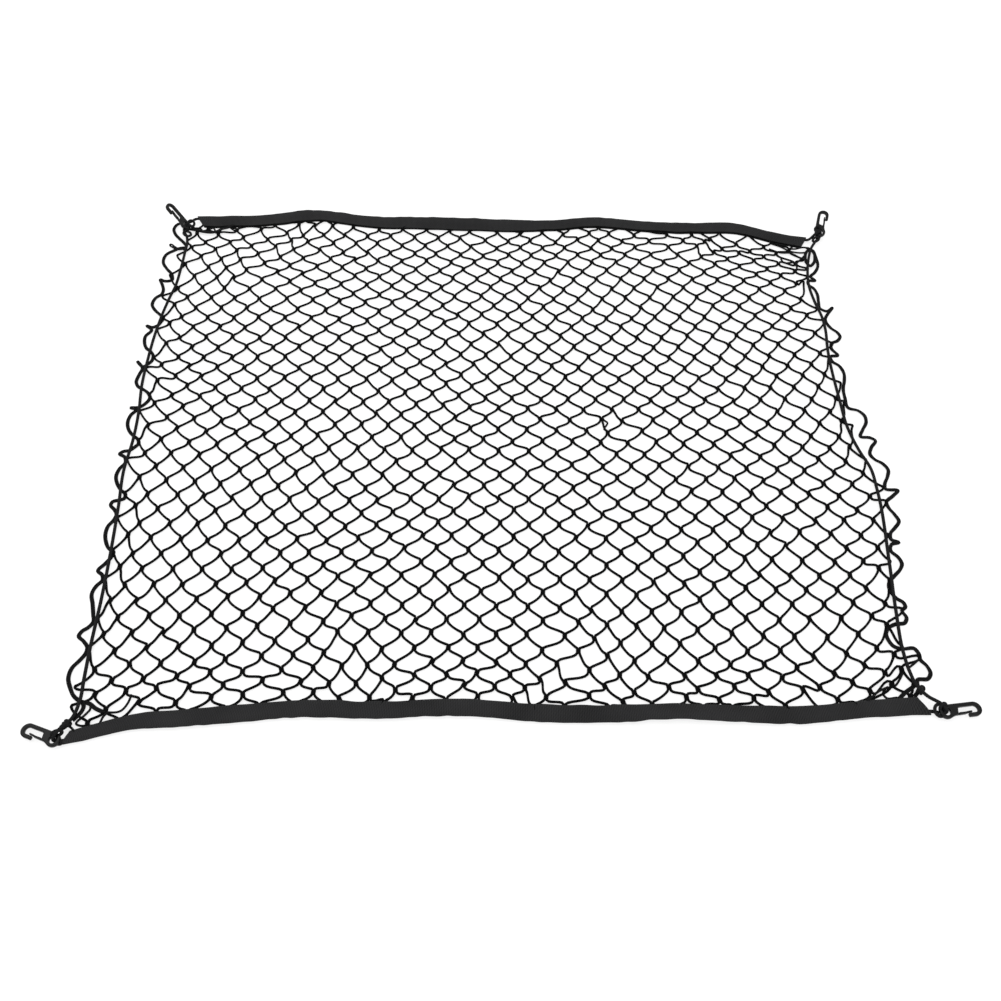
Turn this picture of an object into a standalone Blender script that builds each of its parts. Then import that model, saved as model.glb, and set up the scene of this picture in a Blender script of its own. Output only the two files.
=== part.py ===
"""Elastic cargo net, laid flat: a diamond mesh with two taped edges, two side shock cords and
four snap hooks.

Frame: +X to the right along the taped edges, +Y away from the near edge, +Z up, floor at Z = 0,
origin under the middle of the whole. Lengths in metres, angles in degrees.
"""
import math
from collections import namedtuple

import bmesh
import bpy
import numpy as np
from mathutils import Vector
from mathutils.geometry import delaunay_2d_cdt

# ---------------------------------------------------------------- driving sizes
# Middle of the whole's box, as measured in the tables' own X and Y. Everything is shifted by it.
MIDDLE = (0.00401, 0.01231)

NET_THICK = 0.0024            # thickness of the mesh
STRAND_WIDTH = 0.0032         # one strand of the mesh
BAR_WIDTH = 0.0046            # two strands that run side by side at a joint of the mesh
BAR_LENGTH = 0.013            # length of such a joint
BAR_ROUNDING = 0.007          # how far the strands sweep out below a joint
SELVAGE_WIDTH = 0.0036        # the doubled strand of the side loops
LEAST_OPENING = (60e-6, 0.0054)  # least area and least length of an opening that is worth cutting

LAST_ROW = 42                 # half rows of the real mesh from the far edge to the near edge
LAST_COLUMN = 52              # half columns of the real mesh from left to right
PITCH = 2                     # the solid mesh is cut at twice the real pitch

TAPE_WIDTH = 0.0193            # width of the folded binding
TAPE_SKIN = 0.0010            # thickness of one layer of the tape
TAPE_MOUTH = 0.0030           # space between the layers where they take the mesh
TAPE_TUNNEL = 0.0046          # space between the layers at the fold, where a cord runs
MESH_IN_TAPE = 0.010          # how deep the mesh reaches into the fold
MESH_FROM_END = 0.003         # how far it stops short of the tape's ends
MESH_BARE = 0.001             # strip of the mesh without openings before the tape
GAP = 0.0003                  # between two pieces that touch

CORD_RADIUS = 0.0019
KNOT_RADIUS = 0.0044
CORD_ON_NET = NET_THICK + GAP + CORD_RADIUS   # height of a cord that lies on the mesh

# ---------------------------------------------------------------- how the mesh lies
# One row for each section across the mesh, far edge first: its half row, its left and right
# ends in X, and its Y at five stations from left to right.
MeshRow = namedtuple("MeshRow", "row left right y_left y_inner_left y_middle y_inner_right y_right")
MESH_ROWS = (
    MeshRow(0, -0.464, 0.428, 0.405, 0.395, 0.383, 0.376, 0.343),
    MeshRow(4, -0.463, 0.430, 0.352, 0.328, 0.320, 0.320, 0.303),
    MeshRow(10, -0.466, 0.440, 0.232, 0.224, 0.213, 0.211, 0.215),
    MeshRow(16, -0.459, 0.450, 0.121, 0.116, 0.101, 0.099, 0.108),
    MeshRow(22, -0.460, 0.460, 0.015, 0.002, -0.004, -0.010, -0.015),
    MeshRow(28, -0.461, 0.458, -0.107, -0.114, -0.112, -0.120, -0.127),
    MeshRow(34, -0.460, 0.449, -0.232, -0.222, -0.223, -0.233, -0.235),
    MeshRow(38, -0.452, 0.441, -0.312, -0.297, -0.293, -0.306, -0.300),
    MeshRow(42, -0.445, 0.437, -0.376, -0.354, -0.353, -0.358, -0.342),
)
STATION_COLUMNS = (1, 14, 27, 40, 52)
# How far the free side loops stand out at a half row, on the left and on the right.
SideReach = namedtuple("SideReach", "row left right")
SIDE_REACHES = (
    SideReach(2, 0.028, 0.018),
    SideReach(5, 0.014, 0.009),
    SideReach(16, 0.016, 0.006),
    SideReach(22, 0.011, 0.009),
    SideReach(30, 0.006, 0.006),
    SideReach(42, 0.009, 0.009),
)
INSIDE_WITH_HOLES = 2         # the filling keeps what lies inside the edge and outside the openings
UNEVENNESS = 0.0016           # spread of each joint about its even place
UNEVEN_SEED = 11

# ---------------------------------------------------------------- the two bindings
# side is +1 for the far binding and -1 for the near one: the fold lies on that side.
Binding = namedtuple("Binding", "name side inner_ends outer_ends stations")
# One row for each section along a binding: X, Y of its inner edge, and how far the fold is
# turned up off the floor.
TapeStation = namedtuple("TapeStation", "x inner_y turned_up")
FAR_BINDING = Binding(
    "binding_far", 1, (-0.438, 0.436), (-0.450, 0.447),
    (
        TapeStation(-0.440, 0.396, 8),
        TapeStation(-0.370, 0.402, 8),
        TapeStation(-0.300, 0.410, 2),
        TapeStation(-0.240, 0.411, 0),
        TapeStation(-0.150, 0.397, 14),
        TapeStation(-0.060, 0.390, 24),
        TapeStation(0.010, 0.387, 17),
        TapeStation(0.070, 0.388, 4),
        TapeStation(0.140, 0.396, 0),
        TapeStation(0.210, 0.387, 0),
        TapeStation(0.280, 0.383, 0),
        TapeStation(0.345, 0.382, 3),
        TapeStation(0.400, 0.362, 2),
        TapeStation(0.440, 0.350, 0),
    ))
NEAR_BINDING = Binding(
    "binding_near", -1, (-0.441, 0.437), (-0.447, 0.447),
    (
        TapeStation(-0.445, -0.385, 0),
        TapeStation(-0.390, -0.371, 4),
        TapeStation(-0.330, -0.365, 8),
        TapeStation(-0.270, -0.359, 3),
        TapeStation(-0.210, -0.354, 6),
        TapeStation(-0.130, -0.356, 8),
        TapeStation(-0.040, -0.353, 8),
        TapeStation(0.050, -0.359, 2),
        TapeStation(0.120, -0.360, 8),
        TapeStation(0.183, -0.359, 20),
        TapeStation(0.240, -0.360, 12),
        TapeStation(0.310, -0.361, 4),
        TapeStation(0.380, -0.355, 8),
        TapeStation(0.445, -0.350, 0),
    ))
TAPE_SECTIONS = 24            # sections worked out along each binding

# ---------------------------------------------------------------- the hooks
# Sizes in the hook's own plane: a runs from the middle of the eye to the bow, b across.
EYE_RADIUS = 0.0076
EYE_HOLE_RADIUS = 0.0040
BOW_CENTRE = (0.0305, -0.0005)
BOW_RADIUS = 0.0078
BOW_HOLE_RADIUS = 0.0037
HOOK_THICK = 0.0046
HOOK_CHAMFER = 0.0011
NOSE_END = 0.0226
SHOULDER = 0.0118             # where the gate's root stands on the body
THROAT_FLOOR = 0.0138         # where the throat's floor meets the rod
GATE_KNUCKLE = 0.00125
GATE_AXIS = (SHOULDER + GAP + GATE_KNUCKLE, -0.0036)
GATE_HALVES = (0.0012, 0.0008)   # half width of the gate at its root and at its tip
GATE_THICK = 0.0040
GATE_PATH = ((0.0152, -0.0036), (0.0195, -0.0036), (0.0219, -0.0032), (0.0236, -0.0029), (0.0268, -0.0028))

# One row for each hook: the middle of its eye, the way the bow points in plan, how far the bow
# leans up, and its turn about its own length (180 puts the gate on the other side).
HookPlace = namedtuple("HookPlace", "corner eye heading lean turn")
HOOKS = {
    place.corner: place for place in (
        HookPlace("near_left", (-0.4559, -0.3984, 0.0066), 159, -3, 180),
        HookPlace("near_right", (0.4624, -0.3680, 0.0066), 8.5, -3, 0),
        HookPlace("far_left", (-0.4618, 0.3888, 0.0120), 141, 36, 205),
        HookPlace("far_right", (0.4664, 0.3755, 0.0098), 75, 14, 0),
    )
}

# ---------------------------------------------------------------- the side cords
# Each cord leaves the far tape, passes through the far eye, runs down the selvage, passes
# through the near eye and enters the near tape. Route rows: X, Y, and how far it stands over
# the mesh that it lies on.
RouteRow = namedtuple("RouteRow", "x y lift")
# How the cord passes an eye: the way it leaves above the eye and the way it leaves below it,
# in plan.
EyePass = namedtuple("EyePass", "corner above below")
EYE_PASSES = {
    place.corner: place for place in (
        EyePass("near_left", 62, 8),
        EyePass("near_right", 128, 168),
        EyePass("far_left", 48, 274),
        EyePass("far_right", 214, 245),
    )
}
SIDE_RUN_LEFT = (
    RouteRow(-0.4592, 0.3730, 0.0014),
    RouteRow(-0.4555, 0.3590, 0.0016),
    RouteRow(-0.4550, 0.3360, 0.0010),
    RouteRow(-0.4552, 0.3000, 0.0000),
    RouteRow(-0.4562, 0.2680, 0.0000),
    RouteRow(-0.4600, 0.2450, 0.0000),
    RouteRow(-0.4658, 0.1870, 0.0000),
    RouteRow(-0.4668, 0.1300, 0.0000),
    RouteRow(-0.4653, 0.0830, 0.0000),
    RouteRow(-0.4600, 0.0380, 0.0000),
    RouteRow(-0.4578, -0.0060, 0.0000),
    RouteRow(-0.4590, -0.0560, 0.0000),
    RouteRow(-0.4540, -0.1060, 0.0000),
    RouteRow(-0.4453, -0.2350, 0.0000),
    RouteRow(-0.4436, -0.2950, 0.0000),
    RouteRow(-0.4415, -0.3310, 0.0008),
    RouteRow(-0.4405, -0.3550, 0.0016),
    RouteRow(-0.4435, -0.3730, 0.0024),
)
SIDE_RUN_RIGHT = (
    RouteRow(0.4570, 0.3582, 0.0018),
    RouteRow(0.4498, 0.3465, 0.0016),
    RouteRow(0.4425, 0.3260, 0.0010),
    RouteRow(0.4365, 0.3000, 0.0000),
    RouteRow(0.4330, 0.2700, 0.0000),
    RouteRow(0.4350, 0.2390, 0.0000),
    RouteRow(0.4400, 0.2060, 0.0000),
    RouteRow(0.4402, 0.1840, 0.0000),
    RouteRow(0.4365, 0.1490, 0.0000),
    RouteRow(0.4350, 0.0570, 0.0000),
    RouteRow(0.4362, 0.0130, 0.0000),
    RouteRow(0.4440, -0.0260, 0.0000),
    RouteRow(0.4515, -0.0500, 0.0000),
    RouteRow(0.4526, -0.0840, 0.0000),
    RouteRow(0.4445, -0.1850, 0.0000),
    RouteRow(0.4378, -0.2480, 0.0000),
    RouteRow(0.4345, -0.3000, 0.0000),
    RouteRow(0.4360, -0.3250, 0.0014),
    RouteRow(0.4398, -0.3420, 0.0038),
    RouteRow(0.4465, -0.3525, 0.0052),
)
CORD_STEP = 0.0300            # spacing of the cord's points along its straight run
CORD_STEP_AT_EYE = 0.0030     # and where it bends through an eye
CORD_ON_MESH = (-0.345, 0.358)   # Y between which the cords lie on the mesh
CORD_IN_TUNNEL = 0.008        # how far a cord's end reaches into the tape
KNOTS = {"left": Vector((-0.4470, -0.3810, 0.0080)), "right": Vector((0.4408, -0.3438, 0.0070))}
KNOT_SPREAD = 0.0050


# ---------------------------------------------------------------- shared tools
def clear_scene():
    """Remove every object, so that the model starts from nothing."""
    for item in list(bpy.data.objects):
        bpy.data.objects.remove(item, do_unlink=True)


def make_material(name, colour, roughness):
    """One plain surface: its colour and roughness, not metallic."""
    material = bpy.data.materials.new(name)
    material.use_nodes = True
    shader = material.node_tree.nodes["Principled BSDF"]
    shader.inputs["Base Color"].default_value = (*colour, 1.0)
    shader.inputs["Roughness"].default_value = roughness
    shader.inputs["Metallic"].default_value = 0.0
    return material


def place_object(name, data, material, smooth_angle=None):
    """Put a mesh or a curve into the scene under its name, with its material."""
    data.materials.append(material)
    if smooth_angle is not None:
        data.shade_smooth()
        data.set_sharp_from_angle(angle=math.radians(smooth_angle))
    item = bpy.data.objects.new(name, data)
    bpy.context.scene.collection.objects.link(item)
    return item


def smooth_read(knots, values, at):
    """A smooth curve through values at knots, read at the places in at (any shape of values)."""
    knots = np.asarray(knots, float)
    values = np.asarray(values, float)
    at = np.clip(np.asarray(at, float), knots[0], knots[-1])
    slopes = np.gradient(values, knots, axis=0)
    k = np.clip(np.searchsorted(knots, at) - 1, 0, len(knots) - 2)
    span = knots[k + 1] - knots[k]
    s = (at - knots[k]) / span
    if values.ndim > 1:
        span = span[..., None]
        s = s[..., None]
    stay = (1 + 2 * s) * (1 - s) ** 2 * values[k] + s * s * (3 - 2 * s) * values[k + 1]
    turn = span * (s * (1 - s) ** 2 * slopes[k] - s * s * (1 - s) * slopes[k + 1])
    return stay + turn


# ---------------------------------------------------------------- the binding's form
def section_places(binding):
    """X of each section of the binding at its inner edge."""
    return np.linspace(*binding.inner_ends, TAPE_SECTIONS)


def binding_at(binding, x):
    """Y of the binding's inner edge and its turn off the floor (radians) at X."""
    places = section_places(binding)
    rows = np.array(binding.stations)
    read = smooth_read(rows[:, 0], rows[:, 1:], places)
    inner_y = np.interp(x, places, read[:, 0])
    return inner_y, np.radians(np.clip(np.interp(x, places, read[:, 1]), 0.0, None))


def in_binding(binding, x, depth, height):
    """World points at a depth behind the inner edge and a height over the tape's underside."""
    inner_y, turn = binding_at(binding, x)
    across = depth * np.cos(turn) - height * np.sin(turn)
    up = depth * np.sin(turn) + height * np.cos(turn)
    return np.stack([x + 0.0 * depth, inner_y + binding.side * across, up], axis=-1)


def tape_ring(binding, k, depth, height):
    """World points of one section of the tape: the two end sections are cut at a slant."""
    ring = in_binding(binding, section_places(binding)[k] + 0.0 * depth, depth, height)
    if k in (0, TAPE_SECTIONS - 1):
        end = 0 if k == 0 else 1
        slant = binding.outer_ends[end] - binding.inner_ends[end]
        ring[..., 0] += slant * depth / TAPE_WIDTH
    return ring


def tape_section():
    """Outline of the folded tape: depth behind the inner edge and height over its underside."""
    mouth_top = TAPE_SKIN + TAPE_MOUTH
    tunnel_top = TAPE_SKIN + TAPE_TUNNEL
    fold_top = tunnel_top + TAPE_SKIN
    lip = 0.4 * TAPE_SKIN
    return np.array([
        (0.0, 0.0), (TAPE_WIDTH - 0.0022, 0.0), (TAPE_WIDTH - 0.0004, 0.0018),
        (TAPE_WIDTH, 0.5 * fold_top), (TAPE_WIDTH - 0.0004, fold_top - 0.0018),
        (TAPE_WIDTH - 0.0022, fold_top), (MESH_IN_TAPE + 0.001, fold_top),
        (0.0, mouth_top + TAPE_SKIN), (lip, mouth_top), (MESH_IN_TAPE + 0.001, tunnel_top),
        (TAPE_WIDTH - 0.0026, tunnel_top), (TAPE_WIDTH - 0.0012, 0.5 * fold_top),
        (TAPE_WIDTH - 0.0026, TAPE_SKIN), (MESH_IN_TAPE + 0.001, TAPE_SKIN), (lip, TAPE_SKIN),
    ])


def make_binding(binding, material):
    """Carry the tape's section along the edge of the mesh and close both ends."""
    section = tape_section()
    rings = [tape_ring(binding, k, section[:, 0], section[:, 1]) for k in range(TAPE_SECTIONS)]
    mesh = bmesh.new()
    loops = [[mesh.verts.new(point) for point in ring] for ring in rings]
    for first, second in zip(loops, loops[1:]):
        for k in range(len(section)):
            n = (k + 1) % len(section)
            shallow, deep = (k, n) if section[k, 0] < section[n, 0] else (n, k)
            mesh.faces.new((first[shallow], second[deep], first[deep]))
            mesh.faces.new((first[shallow], second[shallow], second[deep]))
    mesh.faces.new(loops[0])
    mesh.faces.new(reversed(loops[-1]))
    mesh.normal_update()
    bmesh.ops.triangulate(mesh, faces=[f for f in mesh.faces if len(f.verts) > 4])
    bmesh.ops.recalc_face_normals(mesh, faces=mesh.faces)
    data = bpy.data.meshes.new(binding.name)
    mesh.to_mesh(data)
    mesh.free()
    return place_object(binding.name, data, material, smooth_angle=35)


# ---------------------------------------------------------------- the mesh's form
def make_unevenness():
    """How far each joint of the mesh is off its even place: a fixed seeded spread."""
    spread = np.random.default_rng(UNEVEN_SEED)
    size = (LAST_ROW + 2 * PITCH + 1, LAST_COLUMN + 2 * PITCH + 1, 2)
    return np.clip(spread.normal(0.0, UNEVENNESS, size), -2 * UNEVENNESS, 2 * UNEVENNESS)


OFFSETS = make_unevenness()


def tape_corner(binding, end):
    """Plan place where the mesh's outer edge goes into the end of a binding."""
    x = binding.inner_ends[end] + (MESH_FROM_END if end == 0 else -MESH_FROM_END)
    y, _ = binding_at(binding, x)
    return np.array([x, float(y) - binding.side * MESH_BARE])


def joint_at(column, row):
    """Plan place of the joint of the mesh at a half column and a half row."""
    if column in (0, LAST_COLUMN) and not 0 < row < LAST_ROW + PITCH:
        return tape_corner(FAR_BINDING if row <= 0 else NEAR_BINDING, min(column, 1))
    rows = np.array(MESH_ROWS)
    section = smooth_read(rows[:, 0], rows[:, 1:], float(min(max(row, 0), LAST_ROW)))
    beyond = row - min(max(row, 0), LAST_ROW)
    left, right = section[0], section[1]
    x = left + (right - left) * column / LAST_COLUMN
    y = float(smooth_read(STATION_COLUMNS, section[2:], float(column)))
    y -= beyond * 0.018
    off = OFFSETS[row + PITCH, column + PITCH]
    return np.array([x + off[0], y + off[1]])


def inset(outline, distances):
    """Move each edge of an outline inwards by its own distance; corners are where edges meet."""
    ahead = np.roll(outline, -1, axis=0)
    run = ahead - outline
    run /= np.linalg.norm(run, axis=1)[:, None]
    inward = np.stack([-run[:, 1], run[:, 0]], axis=1)
    start = outline + inward * distances[:, None]
    before = np.roll(np.arange(len(outline)), 1)
    corners = []
    for k, p in zip(range(len(outline)), before):
        cross = run[p, 0] * run[k, 1] - run[p, 1] * run[k, 0]
        step = start[k] - start[p]
        if abs(cross) < 0.05:
            corners.append(0.5 * (start[k] + start[p] + run[p] * step.dot(run[p])))
            continue
        t = (step[0] * run[k, 1] - step[1] * run[k, 0]) / cross
        corners.append(start[p] + run[p] * t)
    return np.array(corners)


def cut_back(outline, point, outward):
    """The part of an outline on the inner side of a straight line."""
    kept = []
    side = (outline - point) @ outward
    for k in range(len(outline)):
        n = (k + 1) % len(outline)
        if side[k] <= 0:
            kept.append(outline[k])
        if (side[k] <= 0) != (side[n] <= 0):
            t = side[k] / (side[k] - side[n])
            kept.append(outline[k] + t * (outline[n] - outline[k]))
    return np.array(kept)


def area_of(outline):
    """Area of an outline, positive when it runs anticlockwise."""
    ahead = np.roll(outline, -1, axis=0)
    return 0.5 * float(np.sum(outline[:, 0] * ahead[:, 1] - ahead[:, 0] * outline[:, 1]))


def side_reach(side, row):
    """How far a side loop or tip stands out of the selvage at a half row."""
    spread = np.random.default_rng(1000 + 7 * row + side)
    reaches = np.array(SIDE_REACHES)
    base = np.interp(row, reaches[:, 0], reaches[:, 1 if side < 0 else 2])
    return float(base * spread.uniform(0.85, 1.15))


def side_loop(side, row):
    """Centreline of the free loop beside a half row, far end first, without its two joints."""
    column = 0 if side < 0 else LAST_COLUMN
    top = joint_at(column, row - PITCH)
    bottom = joint_at(column, row + PITCH)
    reach = side_reach(side, row)
    places = ((0.20, 0.72), (0.38, 1.0), (0.62, 1.0), (0.80, 0.72))
    return np.array([top + (bottom - top) * t + np.array([side * reach * share, 0.0])
                     for t, share in places])


def mesh_opening(column, row):
    """One opening of the mesh, anticlockwise from the joint at its far end."""
    bar = np.array([0.0, 0.5 * BAR_LENGTH])
    far = joint_at(column, row - PITCH) - bar
    near = joint_at(column, row + PITCH) + bar
    points = [far]
    widths = []
    for side in (-1, 1):
        outer = column + side * PITCH
        run = []
        if 0 <= outer <= LAST_COLUMN:
            joint = joint_at(outer, row)
            sweep = near - (joint - bar)
            swept = joint - bar + sweep / np.linalg.norm(sweep) * BAR_ROUNDING
            swept = swept + np.array([side * 0.0012, -0.0010])
            run = [joint + bar, joint - 0.7 * bar, swept]
            run_widths = [STRAND_WIDTH, BAR_WIDTH, STRAND_WIDTH, STRAND_WIDTH]
        else:
            run = list(side_loop(side, row))
            run_widths = [SELVAGE_WIDTH] * 5
        if side < 0:
            points += run + [near]
            widths += run_widths
        else:
            points += run[::-1]
            widths += run_widths[::-1]
    return inset(np.array(points), 0.5 * np.array(widths))


def mesh_openings():
    """Every opening that the mesh has between its bindings."""
    openings = []
    for row in range(0, LAST_ROW + 1, PITCH):
        first = PITCH if row % (2 * PITCH) == 0 else 0
        for column in range(first, LAST_COLUMN + 1, 2 * PITCH):
            outline = mesh_opening(column, row)
            for binding in (FAR_BINDING, NEAR_BINDING):
                middle = float(np.clip(outline[:, 0].mean(), *binding.inner_ends))
                span = np.array([middle - 0.01, middle + 0.01])
                span = np.clip(span, *binding.inner_ends)
                edge, _ = binding_at(binding, np.array([middle, *span]))
                outward = np.array([edge[1] - edge[2], span[1] - span[0]]) * binding.side
                outward /= np.linalg.norm(outward)
                at_edge = np.array([middle, edge[0]]) - outward * 0.0035
                outline = cut_back(outline, at_edge, outward)
                if len(outline) < 3:
                    break
            if len(outline) < 3 or area_of(outline) < LEAST_OPENING[0]:
                continue
            if np.ptp(outline[:, 1]) < LEAST_OPENING[1]:
                continue
            openings.append(tidy_outline(outline))
    return openings


def tidy_outline(outline, least=0.0012):
    """Drop the points of an outline that lie closer than least to the one before."""
    kept = [outline[0]]
    for point in outline[1:]:
        if np.linalg.norm(point - kept[-1]) > least:
            kept.append(point)
    if np.linalg.norm(kept[0] - kept[-1]) <= least:
        kept.pop()
    return np.array(kept)


def side_edge(side):
    """Outer edge of one selvage from the far corner to the near one: loops and twisted tips."""
    column = 0 if side < 0 else LAST_COLUMN
    out = np.array([side * 0.5 * SELVAGE_WIDTH, 0.0])
    edge = []
    for row in range(PITCH, LAST_ROW + 1, PITCH):
        if row % (2 * PITCH) != 0:
            loop = side_loop(side, row)
            ahead = np.gradient(loop, axis=0)
            normal = np.stack([-ahead[:, 1], ahead[:, 0]], axis=1) * -side
            normal /= np.linalg.norm(normal, axis=1)[:, None]
            normal *= np.sign(normal[:, :1] * side)
            edge += list(loop + normal * 0.5 * SELVAGE_WIDTH)
        else:
            joint = joint_at(column, row) + out
            reach = side_reach(side, row) - 0.001
            lean = 0.004 * math.sin(2.1 * row)
            edge += [
                joint + np.array([0.0, 0.0030]),
                joint + np.array([side * reach, 0.0016 + lean]),
                joint + np.array([side * reach, -0.0014 + lean]),
                joint + np.array([0.0, -0.0030]),
            ]
    return edge


def settle(point, level):
    """Final place of a point of the mesh: level 0 is its underside and 1 its top."""
    x, y = point
    lowest = TAPE_SKIN + GAP
    for binding in (FAR_BINDING, NEAR_BINDING):
        clamped = float(np.clip(x, binding.stations[0].x, binding.stations[-1].x))
        edge, _ = binding_at(binding, clamped)
        depth = (y - edge) * binding.side
        if depth > -0.0015:
            height = lowest + level * NET_THICK
            placed = in_binding(binding, np.array(clamped), np.array(depth), np.array(height))
            return Vector((x, placed[1], placed[2]))
        if depth > -0.030:
            s = (depth + 0.030) / 0.030
            lift = lowest * s * s * (3 - 2 * s)
            return Vector((x, y, lift + level * NET_THICK))
    return Vector((x, y, level * NET_THICK))


def make_net(material):
    """Fill the net's outline around its openings, give it its thickness and lay it down."""
    edges = {}
    for binding in (FAR_BINDING, NEAR_BINDING):
        x = section_places(binding)
        x[0] += MESH_FROM_END
        x[-1] -= MESH_FROM_END
        y, _ = binding_at(binding, x)
        edges[binding.name] = np.stack([x, y - binding.side * MESH_BARE], axis=1)
    far = edges["binding_far"]
    near = edges["binding_near"]
    left = side_edge(-1)
    outline = list(far[::-1]) + left + list(near) + side_edge(1)[::-1]
    places, rims = [], []
    for loop in [outline] + mesh_openings():
        first = len(places)
        places += [Vector(point) for point in loop]
        rims.append(list(range(first, len(places))))
    flat, _, faces, *_ = delaunay_2d_cdt(places, [], rims, INSIDE_WITH_HOLES, 1e-6)
    mesh = bmesh.new()
    verts = [mesh.verts.new((point.x, point.y, 0.0)) for point in flat]
    for face in faces:
        mesh.faces.new([verts[k] for k in face])
    border = verts[:len(outline)]

    far_verts = border[:TAPE_SECTIONS][::-1]
    start = TAPE_SECTIONS + len(left)
    near_verts = border[start:start + TAPE_SECTIONS]
    for binding, verts in ((FAR_BINDING, far_verts), (NEAR_BINDING, near_verts)):
        inner = []
        for vert in verts:
            y, _ = binding_at(binding, vert.co.x)
            depth_y = y + binding.side * MESH_IN_TAPE
            inner.append(mesh.verts.new((vert.co.x, depth_y, 0.0)))
        for k in range(len(verts) - 1):
            mesh.faces.new((verts[k], verts[k + 1], inner[k + 1]))
            mesh.faces.new((verts[k], inner[k + 1], inner[k]))

    bottom = list(mesh.verts)
    made = bmesh.ops.extrude_face_region(mesh, geom=mesh.faces[:], use_keep_orig=True)
    top = [item for item in made["geom"] if isinstance(item, bmesh.types.BMVert)]
    for verts, level in ((bottom, 0), (top, 1)):
        for vert in verts:
            vert.co = settle((vert.co.x, vert.co.y), level)
    mesh.normal_update()
    bmesh.ops.recalc_face_normals(mesh, faces=mesh.faces)
    data = bpy.data.meshes.new("net")
    mesh.to_mesh(data)
    mesh.free()
    return place_object("net", data, material)


# ---------------------------------------------------------------- the hooks' form
def arc(centre, radius, start, end, steps):
    """Points of an arc from start to end degrees, both ends included."""
    angles = np.radians(np.linspace(start, end, steps + 1))
    return [(centre[0] + radius * math.cos(t), centre[1] + radius * math.sin(t)) for t in angles]


def hook_outline(shrink):
    """Outline of the hook in its plane, drawn in by shrink all round."""
    bow_a, bow_b = BOW_CENTRE
    bow = BOW_RADIUS - shrink
    bay = BOW_HOLE_RADIUS + shrink
    shoulder = SHOULDER - shrink
    nose = NOSE_END + shrink
    gate_b = GATE_AXIS[1]
    points = arc((0.0, 0.0), EYE_RADIUS - shrink, 90, 285, 12)
    points += [(0.0060, gate_b - 0.0021 + shrink), (0.0088, gate_b - 0.0014 + shrink)]
    points += [(shoulder, gate_b - 0.0013 + shrink), (shoulder, gate_b + 0.0014)]
    points += [(THROAT_FLOOR - 0.0006 - shrink, bow_b + bay - 0.0010 + 0.4 * shrink)]
    points += [(THROAT_FLOOR + 0.0008 - shrink, bow_b + bay)]
    points += arc(BOW_CENTRE, bay, 90, -90, 7)
    points += [(nose + 0.0008, bow_b - bay), (nose, bow_b - bay - 0.0008)]
    points += [(nose, bow_b - bow + 0.0008), (nose + 0.0008, bow_b - bow)]
    points += arc(BOW_CENTRE, bow, -90, 90, 10)
    return points


def hook_hole(shrink):
    """The eye's hole, opened out by shrink."""
    return arc((0.0, 0.0), EYE_HOLE_RADIUS + shrink, 0, 337.5, 15)


def gate_outline(shrink):
    """Outline of the gate in the hook's plane, drawn in by shrink all round."""
    knuckle = arc(GATE_AXIS, GATE_KNUCKLE - shrink, 75, 285, 6)
    path = np.array(GATE_PATH)
    ahead = np.gradient(path, axis=0)
    ahead /= np.linalg.norm(ahead, axis=1)[:, None]
    half = np.linspace(*GATE_HALVES, len(path))[:, None] - shrink
    side = np.stack([-ahead[:, 1], ahead[:, 0]], axis=1) * half
    path[-1] -= ahead[-1] * shrink
    return knuckle + [tuple(p) for p in path - side] + [tuple(p) for p in (path + side)[::-1]]


def plate(outline_of, hole_of, thick, chamfer):
    """A flat moulded piece with chamfered rims, from an outline and an optional round hole."""
    mesh = bmesh.new()
    levels = ((-0.5 * thick, chamfer), (-0.5 * thick + chamfer, 0.0),
              (0.5 * thick - chamfer, 0.0), (0.5 * thick, chamfer))
    walls = [outline_of] + ([hole_of] if hole_of else [])
    rims = {0: [], len(levels) - 1: []}
    for wall in walls:
        loops = [[mesh.verts.new((p[0], p[1], z)) for p in wall(shrink)] for z, shrink in levels]
        for first, second in zip(loops, loops[1:]):
            for k in range(len(first)):
                n = (k + 1) % len(first)
                mesh.faces.new((first[k], first[n], second[n], second[k]))
        rims[0].append(loops[0])
        rims[len(levels) - 1].append(loops[-1])
    for loops in rims.values():
        sides = [mesh.edges.get((loop[k], loop[(k + 1) % len(loop)]))
                 for loop in loops for k in range(len(loop))]
        bmesh.ops.triangle_fill(mesh, use_beauty=True, edges=sides)
    bmesh.ops.recalc_face_normals(mesh, faces=mesh.faces)
    return mesh


def hook_axes(place):
    """World directions of the hook's length, width and thickness."""
    heading, lean, turn = (math.radians(angle) for angle in (place.heading, place.lean, place.turn))
    along = Vector((math.cos(heading) * math.cos(lean), math.sin(heading) * math.cos(lean), math.sin(lean)))
    level = Vector((-math.sin(heading), math.cos(heading), 0.0))
    across = level * math.cos(turn) + along.cross(level) * math.sin(turn)
    return along, across, along.cross(across)


def in_hook(place, a, b, c):
    """World place of a point of the hook's own frame."""
    along, across, through = hook_axes(place)
    return Vector(place.eye) + along * a + across * b + through * c


def make_hook_piece(name, place, mesh, origin, material):
    """Turn a plate into its place at a corner, with its origin at the given local point."""
    at = in_hook(place, origin[0], origin[1], 0.0)
    for vert in mesh.verts:
        vert.co = in_hook(place, *vert.co) - at
    data = bpy.data.meshes.new(name)
    mesh.to_mesh(data)
    mesh.free()
    item = place_object(name, data, material, smooth_angle=25)
    item.location = at
    return item


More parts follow.
